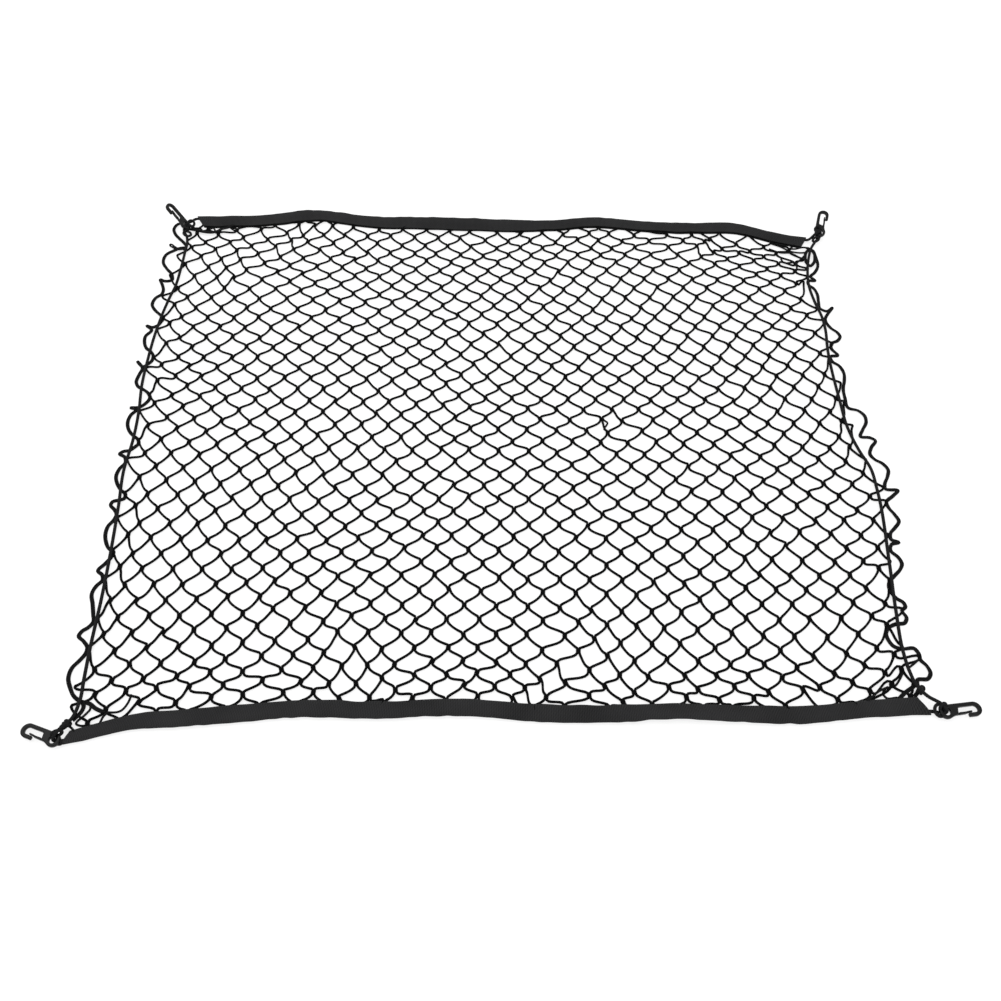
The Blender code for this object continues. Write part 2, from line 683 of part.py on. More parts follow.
# ---------------------------------------------------------------- the cords' form
def eye_pass(place, way):
    """The cord through an eye: from outside below it, up through the hole, to outside above it."""
    along, _, through = hook_axes(place)
    if through.z < 0.0:
        through = -through
    leftward = through.cross(along)
    rim = 0.5 * (EYE_RADIUS + EYE_HOLE_RADIUS)
    legs = []
    for heading, side in ((way.below, -1), (way.above, 1)):
        angle = math.radians(heading - place.heading)
        outward = along * math.cos(angle) + leftward * math.sin(angle)
        leg = []
        for distance, height in ((0.0017, 0.0033), (rim, 0.0049), (0.0086, 0.0046)):
            point = Vector(place.eye) + outward * distance + through * side * height
            point.z = max(point.z, CORD_RADIUS + GAP)
            leg.append(point)
        legs.append(leg)
    return legs[0][::-1] + [Vector(place.eye)] + legs[1]


def tunnel_end(binding, end):
    """The last stretch of a cord inside the tape: its place in the mouth and its end."""
    depth = np.array(TAPE_WIDTH - 0.0012 - 0.5 * TAPE_TUNNEL - GAP)
    height = np.array(TAPE_SKIN + 0.5 * TAPE_TUNNEL)
    last, inner = (0, 1) if end == 0 else (TAPE_SECTIONS - 1, TAPE_SECTIONS - 2)
    mouth = Vector(tape_ring(binding, last, depth, height))
    inward = (Vector(tape_ring(binding, inner, depth, height)) - mouth).normalized()
    return [mouth + inward * CORD_IN_TUNNEL * share for share in (-0.2, 0.0, 0.5, 1.0)]


def cord_route(side):
    """The points of one side cord from the far tape to the near one."""
    end = 0 if side == "left" else 1
    far, near = HOOKS["far_" + side], HOOKS["near_" + side]
    far_eye = eye_pass(far, EYE_PASSES["far_" + side])
    near_eye = eye_pass(near, EYE_PASSES["near_" + side])
    rows = SIDE_RUN_LEFT if side == "left" else SIDE_RUN_RIGHT
    run = [Vector((row.x, row.y, CORD_ON_NET + row.lift)) for row in rows]
    far_mouth = tunnel_end(FAR_BINDING, end)
    near_mouth = tunnel_end(NEAR_BINDING, end)
    return far_mouth[::-1] + far_eye[::-1] + run + near_eye[::-1] + near_mouth


def smooth_route(route):
    """Points along one smooth curve through a route, close together where it bends sharply."""
    knots = np.array([0.0] + [(b - a).length for a, b in zip(route, route[1:])])
    knots = np.cumsum(knots)
    bend = np.array([min((a - b).length, (b - c).length) for a, b, c in zip(route, route[1:], route[2:])])
    places = [0.0]
    while places[-1] < knots[-1] - 1e-6:
        k = int(np.clip(np.searchsorted(knots, places[-1], side="right") - 1, 0, len(route) - 2))
        near = min(bend[max(k - 1, 0)], bend[min(k, len(bend) - 1)])
        step = np.clip(0.62 * near, CORD_STEP_AT_EYE, CORD_STEP)
        places.append(min(places[-1] + step, knots[-1]))
    points = smooth_read(knots, np.array([list(p) for p in route]), np.array(places))
    on_mesh = (points[:, 1] > CORD_ON_MESH[0]) & (points[:, 1] < CORD_ON_MESH[1])
    points[on_mesh, 2] = np.maximum(points[on_mesh, 2], CORD_ON_NET)
    return points


def make_cord(side, material):
    """One shock cord: a round tube on its route, swollen where it is knotted."""
    name = "elastic_" + side
    points = smooth_route(cord_route(side))
    curve = bpy.data.curves.new(name, "CURVE")
    curve.dimensions = "3D"
    curve.bevel_depth = CORD_RADIUS
    curve.bevel_resolution = 2
    curve.use_fill_caps = True
    spline = curve.splines.new("POLY")
    spline.points.add(len(points) - 1)
    knot = KNOTS[side]
    for point, place in zip(spline.points, points):
        point.co = (*place, 1.0)
        distance = (Vector(place) - knot).length / KNOT_SPREAD
        point.radius = 1.0 + (KNOT_RADIUS / CORD_RADIUS - 1.0) * math.exp(-distance * distance)
    return place_object(name, curve, material)


# ---------------------------------------------------------------- the whole
def build():
    """Make every piece in its place."""
    clear_scene()
    black = (0.012, 0.012, 0.013)
    make_net(make_material("mesh_cord", black, 0.85))
    make_binding(FAR_BINDING, make_material("far_tape", (0.022, 0.022, 0.023), 0.9))
    make_binding(NEAR_BINDING, make_material("near_tape", (0.022, 0.022, 0.023), 0.9))
    for side in ("left", "right"):
        make_cord(side, make_material("shock_cord_" + side, (0.030, 0.030, 0.032), 0.7))
    for corner, place in HOOKS.items():
        hook = plate(hook_outline, hook_hole, HOOK_THICK, HOOK_CHAMFER)
        material = make_material("hook_plastic_" + corner, (0.020, 0.020, 0.021), 0.4)
        make_hook_piece("hook_" + corner, place, hook, (0.0, 0.0), material)
        gate = plate(gate_outline, None, GATE_THICK, 0.5 * GATE_HALVES[1])
        material = make_material("gate_plastic_" + corner, (0.020, 0.020, 0.021), 0.4)
        make_hook_piece("gate_" + corner, place, gate, GATE_AXIS, material)
    for item in bpy.context.scene.objects:
        item.location.x -= MIDDLE[0]
        item.location.y -= MIDDLE[1]


build()
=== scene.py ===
"""Looks of an elastic cargo net that lies flat on a pale floor.

The net is a diamond mesh of elastic cord with a doubled rope along each side, a folded tape on its
far and near edges, a braided shock cord down each side and a snap hook at each corner.
Lengths are in metres and angles in degrees unless a name says otherwise.
"""
from __future__ import annotations

import logging
import math
from dataclasses import dataclass, field
from enum import Enum
from typing import Callable, NamedTuple

import bmesh
import bpy
import numpy as np
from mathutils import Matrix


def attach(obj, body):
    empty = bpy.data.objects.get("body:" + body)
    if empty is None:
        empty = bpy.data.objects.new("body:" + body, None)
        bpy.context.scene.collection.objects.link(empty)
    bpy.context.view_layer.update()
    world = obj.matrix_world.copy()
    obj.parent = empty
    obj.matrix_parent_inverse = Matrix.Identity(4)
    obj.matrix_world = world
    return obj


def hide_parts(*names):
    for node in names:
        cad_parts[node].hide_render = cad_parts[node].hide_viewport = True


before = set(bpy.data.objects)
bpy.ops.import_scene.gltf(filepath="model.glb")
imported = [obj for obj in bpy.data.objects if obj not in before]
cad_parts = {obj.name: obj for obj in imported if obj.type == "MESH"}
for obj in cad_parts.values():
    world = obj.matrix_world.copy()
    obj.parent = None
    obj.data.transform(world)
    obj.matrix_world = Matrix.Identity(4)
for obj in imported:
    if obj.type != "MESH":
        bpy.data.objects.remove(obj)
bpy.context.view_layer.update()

LOG = logging.getLogger("cargo_net")
Array = np.ndarray
Outline = Callable[[float], Array]

MIDDLE = np.array([0.00401, 0.01231, 0.0])   # middle of the whole in the tables' own X and Y
UP = np.array([0.0, 0.0, 1.0])
CM = 0.01
MM = 0.001
BODY = "net_body"
CORD_ANGLE = 80    # edges of cords sharper than this many degrees stay sharp
TAPE_ANGLE = 50
HOOK_ANGLE = 40


class Side(Enum):
    """The two sides of the net."""

    LEFT = "left"
    RIGHT = "right"


# ---------------------------------------------------------------- tables of how the net lies
def rows_of(kind: type[NamedTuple], *rows: tuple) -> tuple:
    """Records of one kind.

    Args:
        kind: the record's class.
        rows: the values of each record.

    Returns:
        One record for each row.
    """
    return tuple(kind(*row) for row in rows)


class MeshRow(NamedTuple):
    """One section across the mesh: its half row, its two ends in X and its Y at five stations."""

    row: float
    left: float
    right: float
    y_left: float
    y_inner_left: float
    y_middle: float
    y_inner_right: float
    y_right: float


MESH_ROWS = rows_of(
    MeshRow,
    (0, -0.464, 0.428, 0.405, 0.395, 0.383, 0.376, 0.343),
    (4, -0.463, 0.430, 0.352, 0.328, 0.320, 0.320, 0.303),
    (10, -0.466, 0.440, 0.232, 0.224, 0.213, 0.211, 0.215),
    (16, -0.459, 0.450, 0.121, 0.116, 0.101, 0.099, 0.108),
    (22, -0.460, 0.460, 0.015, 0.002, -0.004, -0.010, -0.015),
    (28, -0.461, 0.458, -0.107, -0.114, -0.112, -0.120, -0.127),
    (34, -0.460, 0.449, -0.232, -0.222, -0.223, -0.233, -0.235),
    (38, -0.452, 0.441, -0.312, -0.297, -0.293, -0.306, -0.300),
    (42, -0.445, 0.437, -0.376, -0.354, -0.353, -0.358, -0.342),
)
STATION_COLUMNS = (1, 14, 27, 40, 52)
LAST_ROW = 42
LAST_COLUMN = 52


class JointPlace(NamedTuple):
    """A joint beside a selvage that lies away from its even place, in millimetres."""

    row: int
    x: float
    y: float


def every_other_row(first: int, *places: tuple[float, float]) -> tuple[JointPlace, ...]:
    """Joints of one column, which lie two half rows apart.

    Args:
        first: half row of the first joint.
        places: X and Y of each joint.

    Returns:
        One record for each joint.
    """
    return tuple(JointPlace(first + 2 * number, x, y) for number, (x, y) in enumerate(places))


LEFT_EDGE_JOINTS = every_other_row(
    11, (-463, 210), (-466, 187), (-460, 136), (-467, 116), (-453, 72), (-460, 42), (-452, -5),
    (-460, -35), (-452, -86), (-452, -122), (-448, -167), (-448, -205), (-444, -256), (-446, -291),
    (-450, -338),
)
LEFT_FIRST_JOINTS = every_other_row(
    6, (-452, 317), (-453, 267), (-452, 235), (-452, 199), (-449, 161), (-448, 123), (-448, 95),
    (-444, 56), (-445, 19), (-440, -25), (-439, -62), (-435, -104), (-435, -145), (-435, -189),
    (-436, -233), (-434, -276), (-434, -318),
)
RIGHT_EDGE_JOINTS = every_other_row(
    7, (428, 280), (437, 226), (443, 203), (446, 160), (436, 135), (443, 90), (441, 57), (444, 18),
    (450, -36), (462, -78), (461, -99), (453, -146), (447, -182), (440, -206), (447, -245),
    (436, -291), (452, -303), (437, -334),
)
RIGHT_FIRST_JOINTS = every_other_row(
    8, (418, 245), (421, 214), (426, 180), (426, 143), (425, 105), (432, 64), (432, 26), (434, -15),
    (442, -56), (443, -91), (440, -125), (437, -163), (432, -191), (429, -237), (425, -264),
    (425, -300), (429, -317),
)


class LocalShift(NamedTuple):
    """A spot where the mesh is pulled away from its even lie, in millimetres."""

    x: float
    y: float
    right: float
    far: float
    reach: float


LOCAL_SHIFTS = rows_of(
    LocalShift,
    (421, -333, 22, 16, 20), (-361, 306, -15, 0, 32), (-327, 400, 17, 0, 32),
    (-378, 388, 12, 4, 20), (-291, 334, -9, -3, 32), (-228, 397, -7, 10, 20), (240, 361, 14, 5, 20),
    (274, 357, 17, 10, 20), (64, -354, -15, -6, 32), (149, -344, -5, -9, 32),
    (354, -317, 2, -13, 32), (441, -300, -12, -6, 20), (-158, -338, 4, -12, 32),
    (-226, -341, 9, -1, 32), (-161, -278, -3, 8, 32), (81, -280, 7, 3, 32), (202, -270, -5, 5, 32),
    (430, 324, 4, -9, 20), (-130, -317, -7, 0, 24), (415, -315, -4, -6, 17),
    (418, -331, -6, -8, 15), (155, 25, -8, 0, 16), (126, 26, 4, 1, 15), (142, 9, -6, -4, 15),
    (298, -351, 0, -10, 14), (334, -351, 0, -12, 14), (373, -344, 0, -12, 14),
    (354, -336, -1, -6, 13), (390, -334, 0, -4, 12),
)


class MeshSway(NamedTuple):
    """How far the mesh sways off its even lie at nine columns of one half row, in millimetres."""

    row: int
    right: tuple[int, ...]
    far: tuple[int, ...]


SWAY_COLUMNS = (3, 9, 15, 21, 27, 33, 39, 45, 51)
MESH_SWAYS = rows_of(
    MeshSway,
    (3, (-2, -2, -4, -6, -6, -8, -9, -2, 5), (1, -1, 0, 1, 0, 0, 2, 3, 0)),
    (9, (-6, -7, 0, 4, 4, 2, -3, -5, -2), (-1, 1, 0, 0, 1, -3, 0, 1, -2)),
    (15, (-3, -1, 2, 4, 4, 2, 4, 2, -4), (-2, -1, 1, 1, 0, 1, -1, -2, -2)),
    (21, (0, 3, 1, -3, -2, 2, -1, 3, -2), (1, -1, 1, 1, -1, -1, 0, -2, -4)),
    (27, (2, -2, -4, -2, -1, 0, 2, 0, 1), (0, 0, -2, 1, 1, -1, 0, 1, -2)),
    (33, (0, -3, -4, 0, 2, 2, 2, -1, -4), (-3, -5, 0, 3, 0, 2, 0, -4, 0)),
    (39, (2, 3, 6, -1, -2, -2, -5, -2, 3), (-2, -2, -2, 0, 0, -4, -4, -8, -6)),
)

# The doubled rope of each side, from the far corner to the near one: X and Y in millimetres.
ROPES = {
    Side.LEFT: (
        (-458, 352), (-465, 351), (-473, 346), (-483, 337), (-484, 320), (-477, 308), (-466, 293),
        (-465, 284), (-475, 282), (-481, 285), (-476, 273), (-473, 263), (-474, 255), (-480, 249),
        (-483, 235), (-476, 223), (-468, 215), (-462, 208), (-464, 202), (-468, 194), (-474, 191),
        (-482, 194), (-474, 186), (-480, 174), (-479, 163), (-474, 152), (-467, 146), (-462, 137),
        (-463, 128), (-467, 123), (-471, 119), (-481, 128), (-472, 116), (-474, 105), (-475, 91),
        (-471, 84), (-465, 80), (-457, 74), (-452, 64), (-456, 55), (-462, 49), (-473, 48),
        (-465, 45), (-470, 37), (-472, 25), (-468, 12), (-461, 3), (-453, -4), (-451, -10),
        (-455, -16), (-460, -21), (-468, -23), (-471, -26), (-464, -31), (-461, -40), (-466, -49),
        (-468, -60), (-464, -72), (-457, -82), (-451, -87), (-451, -94), (-456, -96), (-464, -99),
        (-465, -103), (-459, -110), (-455, -117), (-457, -126), (-461, -133), (-462, -144),
        (-459, -155), (-453, -165), (-447, -169), (-448, -176), (-453, -185), (-459, -195),
        (-453, -200), (-451, -207), (-456, -214), (-459, -224), (-455, -238), (-451, -252),
        (-449, -260), (-453, -267), (-459, -272), (-461, -277), (-454, -284), (-448, -292),
        (-448, -297), (-453, -307), (-459, -316), (-460, -327), (-455, -339), (-450, -347),
        (-440, -355),
    ),
    Side.RIGHT: (
        (445, 352), (452, 344), (455, 327), (454, 312), (447, 299), (440, 291), (445, 283),
        (435, 282), (434, 275), (440, 267), (443, 255), (442, 241), (442, 227), (450, 222),
        (459, 229), (452, 219), (445, 206), (450, 189), (457, 181), (459, 174), (454, 166),
        (445, 161), (443, 152), (449, 139), (439, 137), (440, 128), (447, 121), (451, 108),
        (449, 94), (445, 81), (444, 64), (445, 48), (457, 43), (463, 35), (463, 25), (456, 12),
        (451, 1), (463, -1), (468, -5), (461, -16), (457, -27), (461, -35), (469, -41), (474, -51),
        (471, -61), (465, -73), (464, -79), (479, -82), (471, -90), (461, -100), (462, -107),
        (467, -117), (470, -126), (463, -136), (456, -144), (455, -152), (463, -156), (454, -159),
        (451, -167), (458, -177), (460, -185), (456, -193), (448, -201), (440, -210), (438, -219),
        (444, -231), (450, -236), (451, -241), (446, -246), (449, -255), (446, -261), (435, -263),
        (426, -268), (422, -275), (423, -283), (427, -290), (436, -293), (449, -293), (452, -299),
        (452, -306), (457, -313), (459, -322), (455, -328), (443, -330), (442, -336),
    ),
}


class TapeStation(NamedTuple):
    """One section of a taped edge: X, Y of its inner edge, and how far its fold is turned up."""

    x: float
    inner_y: float
    turned_up: float


FAR_STATIONS = rows_of(
    TapeStation,
    (-0.440, 0.396, 8), (-0.410, 0.397, 8), (-0.355, 0.399, 6), (-0.322, 0.404, 8),
    (-0.282, 0.4105, 9), (-0.245, 0.4065, 8), (-0.207, 0.3985, 8), (-0.170, 0.394, 10),
    (-0.140, 0.3935, 14), (-0.060, 0.390, 24), (0.010, 0.387, 17), (0.070, 0.388, 4),
    (0.140, 0.396, 0), (0.210, 0.387, 0), (0.280, 0.383, 0), (0.345, 0.382, 3), (0.400, 0.362, 2),
    (0.440, 0.350, 0),
)
NEAR_STATIONS = rows_of(
    TapeStation,
    (-0.445, -0.3885, 0), (-0.415, -0.379, 2), (-0.390, -0.3715, 4), (-0.330, -0.365, 8),
    (-0.270, -0.359, 3), (-0.210, -0.354, 6), (-0.130, -0.356, 8), (-0.040, -0.353, 8),
    (0.050, -0.359, 2), (0.120, -0.360, 8), (0.183, -0.359, 20), (0.240, -0.360, 12),
    (0.310, -0.361, 4), (0.380, -0.355, 8), (0.445, -0.350, 0),
)


class HookPlace(NamedTuple):
    """Where a hook lies: middle of its eye, heading of its bow, its lean and its turn."""

    corner: str
    eye: tuple[float, float, float]
    heading: float
    lean: float
    turn: float


HOOK_PLACES = rows_of(
    HookPlace,
    ("near_left", (-0.4559, -0.3984, 0.0066), 159, -3, 180),
    ("near_right", (0.4624, -0.3680, 0.0066), 8.5, -3, 0),
    ("far_left", (-0.4618, 0.3888, 0.0120), 141, 36, 205),
    ("far_right", (0.4664, 0.3755, 0.0098), 75, 14, 0),
)


class EyePass(NamedTuple):
    """How a cord passes an eye: its heading above the eye and its heading below it."""

    above: float
    below: float


EYE_PASSES = {
    "near_left": EyePass(62, 8),
    "near_right": EyePass(128, 168),
    "far_left": EyePass(48, 274),
    "far_right": EyePass(214, 245),
}
# The free run of each shock cord: X, Y and how far it stands over the mesh that it lies on.
CORD_RUNS = {
    Side.LEFT: (
        (-0.4592, 0.373, 0.0014), (-0.4555, 0.359, 0.0016), (-0.455, 0.336, 0.001),
        (-0.4552, 0.3, 0.0), (-0.4562, 0.268, 0.0), (-0.46, 0.245, 0.0), (-0.4658, 0.187, 0.0),
        (-0.4668, 0.13, 0.0), (-0.4653, 0.083, 0.0), (-0.46, 0.038, 0.0), (-0.4578, -0.006, 0.0),
        (-0.459, -0.056, 0.0), (-0.454, -0.106, 0.0), (-0.4453, -0.235, 0.0),
        (-0.4436, -0.295, 0.0), (-0.4412, -0.331, 0.0008), (-0.4395, -0.355, 0.0014),
        (-0.4425, -0.375, 0.0024),
    ),
    Side.RIGHT: (
        (0.457, 0.3582, 0.0018), (0.4498, 0.3465, 0.0016), (0.4425, 0.326, 0.001),
        (0.4365, 0.3, 0.0), (0.433, 0.27, 0.0), (0.435, 0.239, 0.0), (0.44, 0.206, 0.0),
        (0.4402, 0.184, 0.0), (0.4365, 0.149, 0.0), (0.435, 0.057, 0.0), (0.4362, 0.013, 0.0),
        (0.444, -0.026, 0.0), (0.4515, -0.05, 0.0), (0.4526, -0.084, 0.0), (0.4445, -0.185, 0.0),
        (0.4378, -0.248, 0.0), (0.4343, -0.3, 0.0), (0.4352, -0.322, 0.0014),
        (0.4385, -0.34, 0.0034), (0.446, -0.3515, 0.0048),
    ),
}


class Stray(NamedTuple):
    """A strand of the mesh that lies out of its order: whether it is doubled, and its route.

    The route is X and Y in millimetres.
    """

    doubled: bool
    route: tuple[tuple[float, float], ...]


STRAYS = rows_of(
    Stray,
    (True, ((-453, 394), (-461, 401), (-470, 405), (-478, 403), (-482, 392), (-478, 381),
            (-471, 372), (-462, 362), (-457, 354), (-459, 346))),
    (False, ((-455, 352), (-461, 349.2), (-468, 348.8), (-474, 352.8), (-479.2, 357.2),
            (-481, 357.2), (-480.8, 355.4), (-475.6, 350.8), (-469, 346.4), (-461, 346.8),
            (-455, 350))),
    (True, ((-462, 390), (-448, 387), (-434, 383), (-424, 382), (-417, 384), (-410, 390),
            (-402, 393), (-394, 399))),
    (False, ((-454, 394), (-443, 393), (-438, 387), (-432, 386), (-430, 391), (-424, 394),
            (-420, 388), (-414, 387), (-411, 393), (-404, 396))),
    (False, ((-401, 396), (-395, 390), (-390, 387), (-387, 391), (-384, 396))),
    (True, ((447, 347), (452, 341), (452, 328), (448, 316), (442, 310), (438, 317), (438, 328),
            (443, 341), (447, 345))),
    (False, ((394, 360), (407, 353), (420, 343), (434, 340), (443, 341))),
    (False, ((389, 347), (405, 339), (419, 338), (429, 330), (438, 324))),
    (False, ((416, 346), (428, 346), (437, 349), (447, 348))),
    (False, ((441, 337), (430, 324), (425, 318), (423, 307), (420, 299))),
    (False, ((403, 326), (406, 318), (416, 318), (422, 318), (423, 311))),
    (False, ((129, 30), (131, 25), (135, 21), (133, 16), (130, 11), (135, 7))),
    (True, ((-443, -354), (-438, -355), (-430, -357), (-423, -362), (-414, -366))),
    (False, ((-414, -366), (-407, -367), (-395, -365), (-390, -357), (-388, -347))),
    (False, ((-407, -367), (-411, -371), (-413, -377), (-414, -382))),
    (False, ((-429, -358), (-428, -363), (-431, -368), (-435, -373), (-438, -376), (-439, -379),
            (-435, -381), (-428, -381), (-420, -381))),
    (True, ((-438, -355), (-435, -361), (-436, -366), (-439, -371), (-443, -376))),
    (False, ((-445, -382), (-440, -386), (-436, -391))),
    (False, ((429, -322), (425, -328), (415, -338), (409, -339), (404, -343), (403, -346),
            (405, -350), (417, -350))),
    (True, ((418, -352), (426, -345), (435, -339), (439, -336))),
    (False, ((383, -355), (390, -350), (398, -344), (409, -339))),
    (True, ((435, -349), (439, -345), (442, -341))),
    (False, ((437, -316), (444, -311), (450, -306))),
)


class CordRing(NamedTuple):
    """One turn of a shock cord at a hook's eye or in a knot.

    Middle in millimetres, half lengths in millimetres, heading of the first half length and the
    tilt of the ring about it.
    """

    middle: tuple[float, float, float]
    halves: tuple[float, float]
    heading: float
    tilt: float


CORD_RINGS = {
    Side.LEFT: rows_of(
        CordRing,
        ((-454, 392, 12.5), (4.4, 4.6), 20, 30), ((-458.5, 376.5, 6.5), (5.0, 5.2), 100, 20),
        ((-460, 385, 10.5), (2.4, 3.4), 60, 40), ((-447.0, -381.6, 6.4), (2.9, 2.9), 155, 75),
        ((-445.6, -379.6, 6.4), (2.9, 2.9), 130, 62), ((-449.4, -383.4, 5.6), (3.2, 2.4), 215, 20),
        ((-453.0, -392.0, 9.0), (5.0, 3.0), 20, 60), ((-451.0, -399.5, 5.2), (3.6, 2.4), 340, 35),
    ),
    Side.RIGHT: rows_of(
        CordRing,
        ((464, 372, 9.0), (3.0, 6.0), 350, 35), ((459, 363, 7.5), (6.0, 2.8), 35, 30),
        ((463, 380, 12.0), (3.2, 3.4), 345, 50), ((455.5, -366.5, 7.5), (5.2, 6.2), 10, 18),
        ((459.0, -364.0, 9.0), (3.6, 5.4), 20, 62), ((440.2, -342.6, 6.4), (2.6, 2.6), 40, 78),
        ((441.8, -344.6, 6.4), (2.6, 2.6), 65, 68), ((443.6, -341.4, 6.0), (2.2, 2.0), 40, 20),
    ),
}


# ---------------------------------------------------------------- curves and surfaces
def smooth_read(knots: Array, values: Array, at: Array) -> Array:
    """Read a smooth curve through values at knots.

    Between two knots the value is a cubic that meets both values and has at each knot the slope
    of the line through its neighbours.

    Args:
        knots: increasing places, shape (K,).
        values: values at the knots, shape (K,) or (K, D).
        at: places to read, any shape.

    Returns:
        The values read, of the shape of at, plus D where the values have it.
    """
    knots = np.asarray(knots, float)
    values = np.asarray(values, float)
    at = np.clip(np.asarray(at, float), knots[0], knots[-1])
    slopes = np.gradient(values, knots, axis=0)
    k = np.clip(np.searchsorted(knots, at) - 1, 0, len(knots) - 2)
    span = knots[k + 1] - knots[k]
    s = (at - knots[k]) / span
    if values.ndim > 1:
        span = span[..., None]
        s = s[..., None]
    stay = (1 + 2 * s) * (1 - s) ** 2 * values[k] + s * s * (3 - 2 * s) * values[k + 1]
    turn = span * (s * (1 - s) ** 2 * slopes[k] - s * s * (1 - s) * slopes[k + 1])
    return stay + turn


def new_object(name: str, data: bpy.types.ID) -> bpy.types.Object:
    """Put an object of some data into the scene.

    Args:
        name: the object's name.
        data: its mesh, lamp or camera.

    Returns:
        The new object.
    """
    item = bpy.data.objects.new(name, data)
    bpy.context.scene.collection.objects.link(item)
    return item


def ease(share: Array) -> Array:
    """Turn an even rise from nought to one into one that starts and ends level."""
    return share * share * (3 - 2 * share)


def unit(vectors: Array) -> Array:
    """Vectors of length one along the last axis."""
    return vectors / np.maximum(np.linalg.norm(vectors, axis=-1, keepdims=True), 1e-12)


def along_path(points: Array, step: float) -> Array:
    """Points at even steps on a smooth curve through a route.

    Args:
        points: the route, shape (N, 3).
        step: distance between the points that come back.

    Returns:
        Points of shape (M, 3).
    """
    spans = np.linalg.norm(np.diff(points, axis=0), axis=1)
    knots = np.concatenate([[0.0], np.cumsum(np.maximum(spans, 1e-6))])
    count = max(int(round(knots[-1] / step)), 4)
    return smooth_read(knots, points, np.linspace(0.0, knots[-1], count + 1))


def path_length(paths: Array) -> Array:
    """Distance run along each path, shape (..., N), starting at nought."""
    spans = np.linalg.norm(np.diff(paths, axis=-2), axis=-1)
    start = np.zeros(paths.shape[:-2] + (1,))
    return np.concatenate([start, np.cumsum(spans, axis=-1)], axis=-1)


def steady_frames(path: Array) -> tuple[Array, Array]:
    """Two directions across a path that turn no more than they must from point to point.

    Each frame is the one before it, turned by the smallest turn that takes the old run to the new.

    Args:
        path: points of shape (N, 3).

    Returns:
        The sideways and the upward direction at each point, both of shape (N, 3).
    """
    run = unit(np.gradient(path, axis=0))
    start = UP if abs(run[0, 2]) < 0.9 else np.array([1.0, 0.0, 0.0])
    side = unit(np.cross(run[0], start))
    sides = [side]
    for ahead in run[1:]:
        side = unit(side - ahead * side.dot(ahead))
        sides.append(side)
    sides = np.array(sides)
    return sides, np.cross(sides, run)


def bend(x: float, y: float, radius: float, turn: Array) -> Array:
    """Points of an arc in a plane.

    Args:
        x: first coordinate of its middle.
        y: second coordinate of its middle.
        radius: its radius.
        turn: the angle of each point, in degrees.

    Returns:
        Points of shape (N, 2).
    """
    angle = np.radians(turn)
    return np.stack([x + radius * np.cos(angle), y + radius * np.sin(angle)], 1)


class MeshMaker:
    """Gathers grids of points into one mesh with a UV map."""

    def __init__(self) -> None:
        """Start with nothing."""
        self.points: list[Array] = []
        self.faces: list[list[int]] = []
        self.uvs: list[Array] = []
        self.count = 0

    def add_grids(self, grids: Array, u: Array, v: Array, closed: bool, capped: bool) -> None:
        """Add many surfaces that are functions of two parameters on one shape of grid.

        Args:
            grids: points of shape (P, N, M, 3): P surfaces, N along and M across.
            u: the map's coordinate along, shape (P, N).
            v: the map's coordinate across, shape (M,) or (M + 1,) where closed.
            closed: whether the last point across meets the first.
            capped: whether both ends along are closed with a flat face.
        """
        pieces, along, across = grids.shape[:3]
        last = across if closed else across - 1
        i, k = np.meshgrid(np.arange(along - 1), np.arange(last), indexing="ij")
        n = (k + 1) % across
        row, above = i * across, (i + 1) * across
        quad = np.stack([row + k, row + n, above + n, above + k], -1)
        base = self.count + np.arange(pieces)[:, None, None, None] * along * across
        self.faces += (base + quad[None]).reshape(-1, 4).tolist()
        v_here = np.stack([v[k], v[k + 1], v[k + 1], v[k]], -1)
        u_here = np.stack([u[:, i], u[:, i], u[:, i + 1], u[:, i + 1]], -1)
        both = np.stack([u_here, np.broadcast_to(v_here[None], u_here.shape)], -1)
        self.uvs.append(both.reshape(-1, 2))
        if capped:
            first = np.arange(across)
            starts = self.count + np.arange(pieces)[:, None] * along * across
            ends = np.concatenate([starts + first[::-1], starts + (along - 1) * across + first])
            self.faces += ends.tolist()
            self.uvs.append(np.zeros((ends.size, 2)))
        self.points.append(grids.reshape(-1, 3))
        self.count += pieces * along * across

    def finish(self, name: str, material: bpy.types.Material,
               smooth_angle: float) -> bpy.types.Object:
        """Make the object.

        Args:
            name: the object's name.
            material: its one material.
            smooth_angle: edges sharper than this stay sharp.

        Returns:
            The new object, at the origin.
        """
        data = bpy.data.meshes.new(name)
        data.from_pydata(np.concatenate(self.points).tolist(), [], self.faces)
        layer = data.uv_layers.new(name="Surface")
        layer.data.foreach_set("uv", np.concatenate(self.uvs).astype(np.float32).ravel())
        data.materials.append(material)
        data.shade_smooth()
        data.set_sharp_from_angle(angle=math.radians(smooth_angle))
        data.update()
        return new_object(name, data)


def add_tubes(maker: MeshMaker, paths: Array, radii: Array, sides: int,
              frames: tuple[Array, Array] | None = None) -> None:
    """Add round tubes about many paths.

    A point of a tube is its path's point, plus its radius times the cosine of the way round along
    the sideways direction and the sine of it along the upward direction.

    Args:
        maker: gathers the mesh.
        paths: shape (P, N, 3).
        radii: shape (P, N) or anything that spreads to it.
        sides: faces round each tube.
        frames: sideways and upward directions, or none where the paths lie nearly level.
    """
    run = unit(np.gradient(paths, axis=1))
    if frames is None:
        side = unit(np.cross(run, UP))
        up = np.cross(side, run)
    else:
        side, up = frames
    turn = np.linspace(0.0, 2 * np.pi, sides, endpoint=False) + np.pi / sides
    ring = (side[:, :, None, :] * np.cos(turn)[:, None] + up[:, :, None, :] * np.sin(turn)[:, None])
    radii = np.broadcast_to(radii, paths.shape[:2])
    grids = paths[:, :, None, :] + ring * radii[:, :, None, None]
    maker.add_grids(grids, path_length(paths) / CM, np.linspace(0.0, 1.0, sides + 1), True, True)


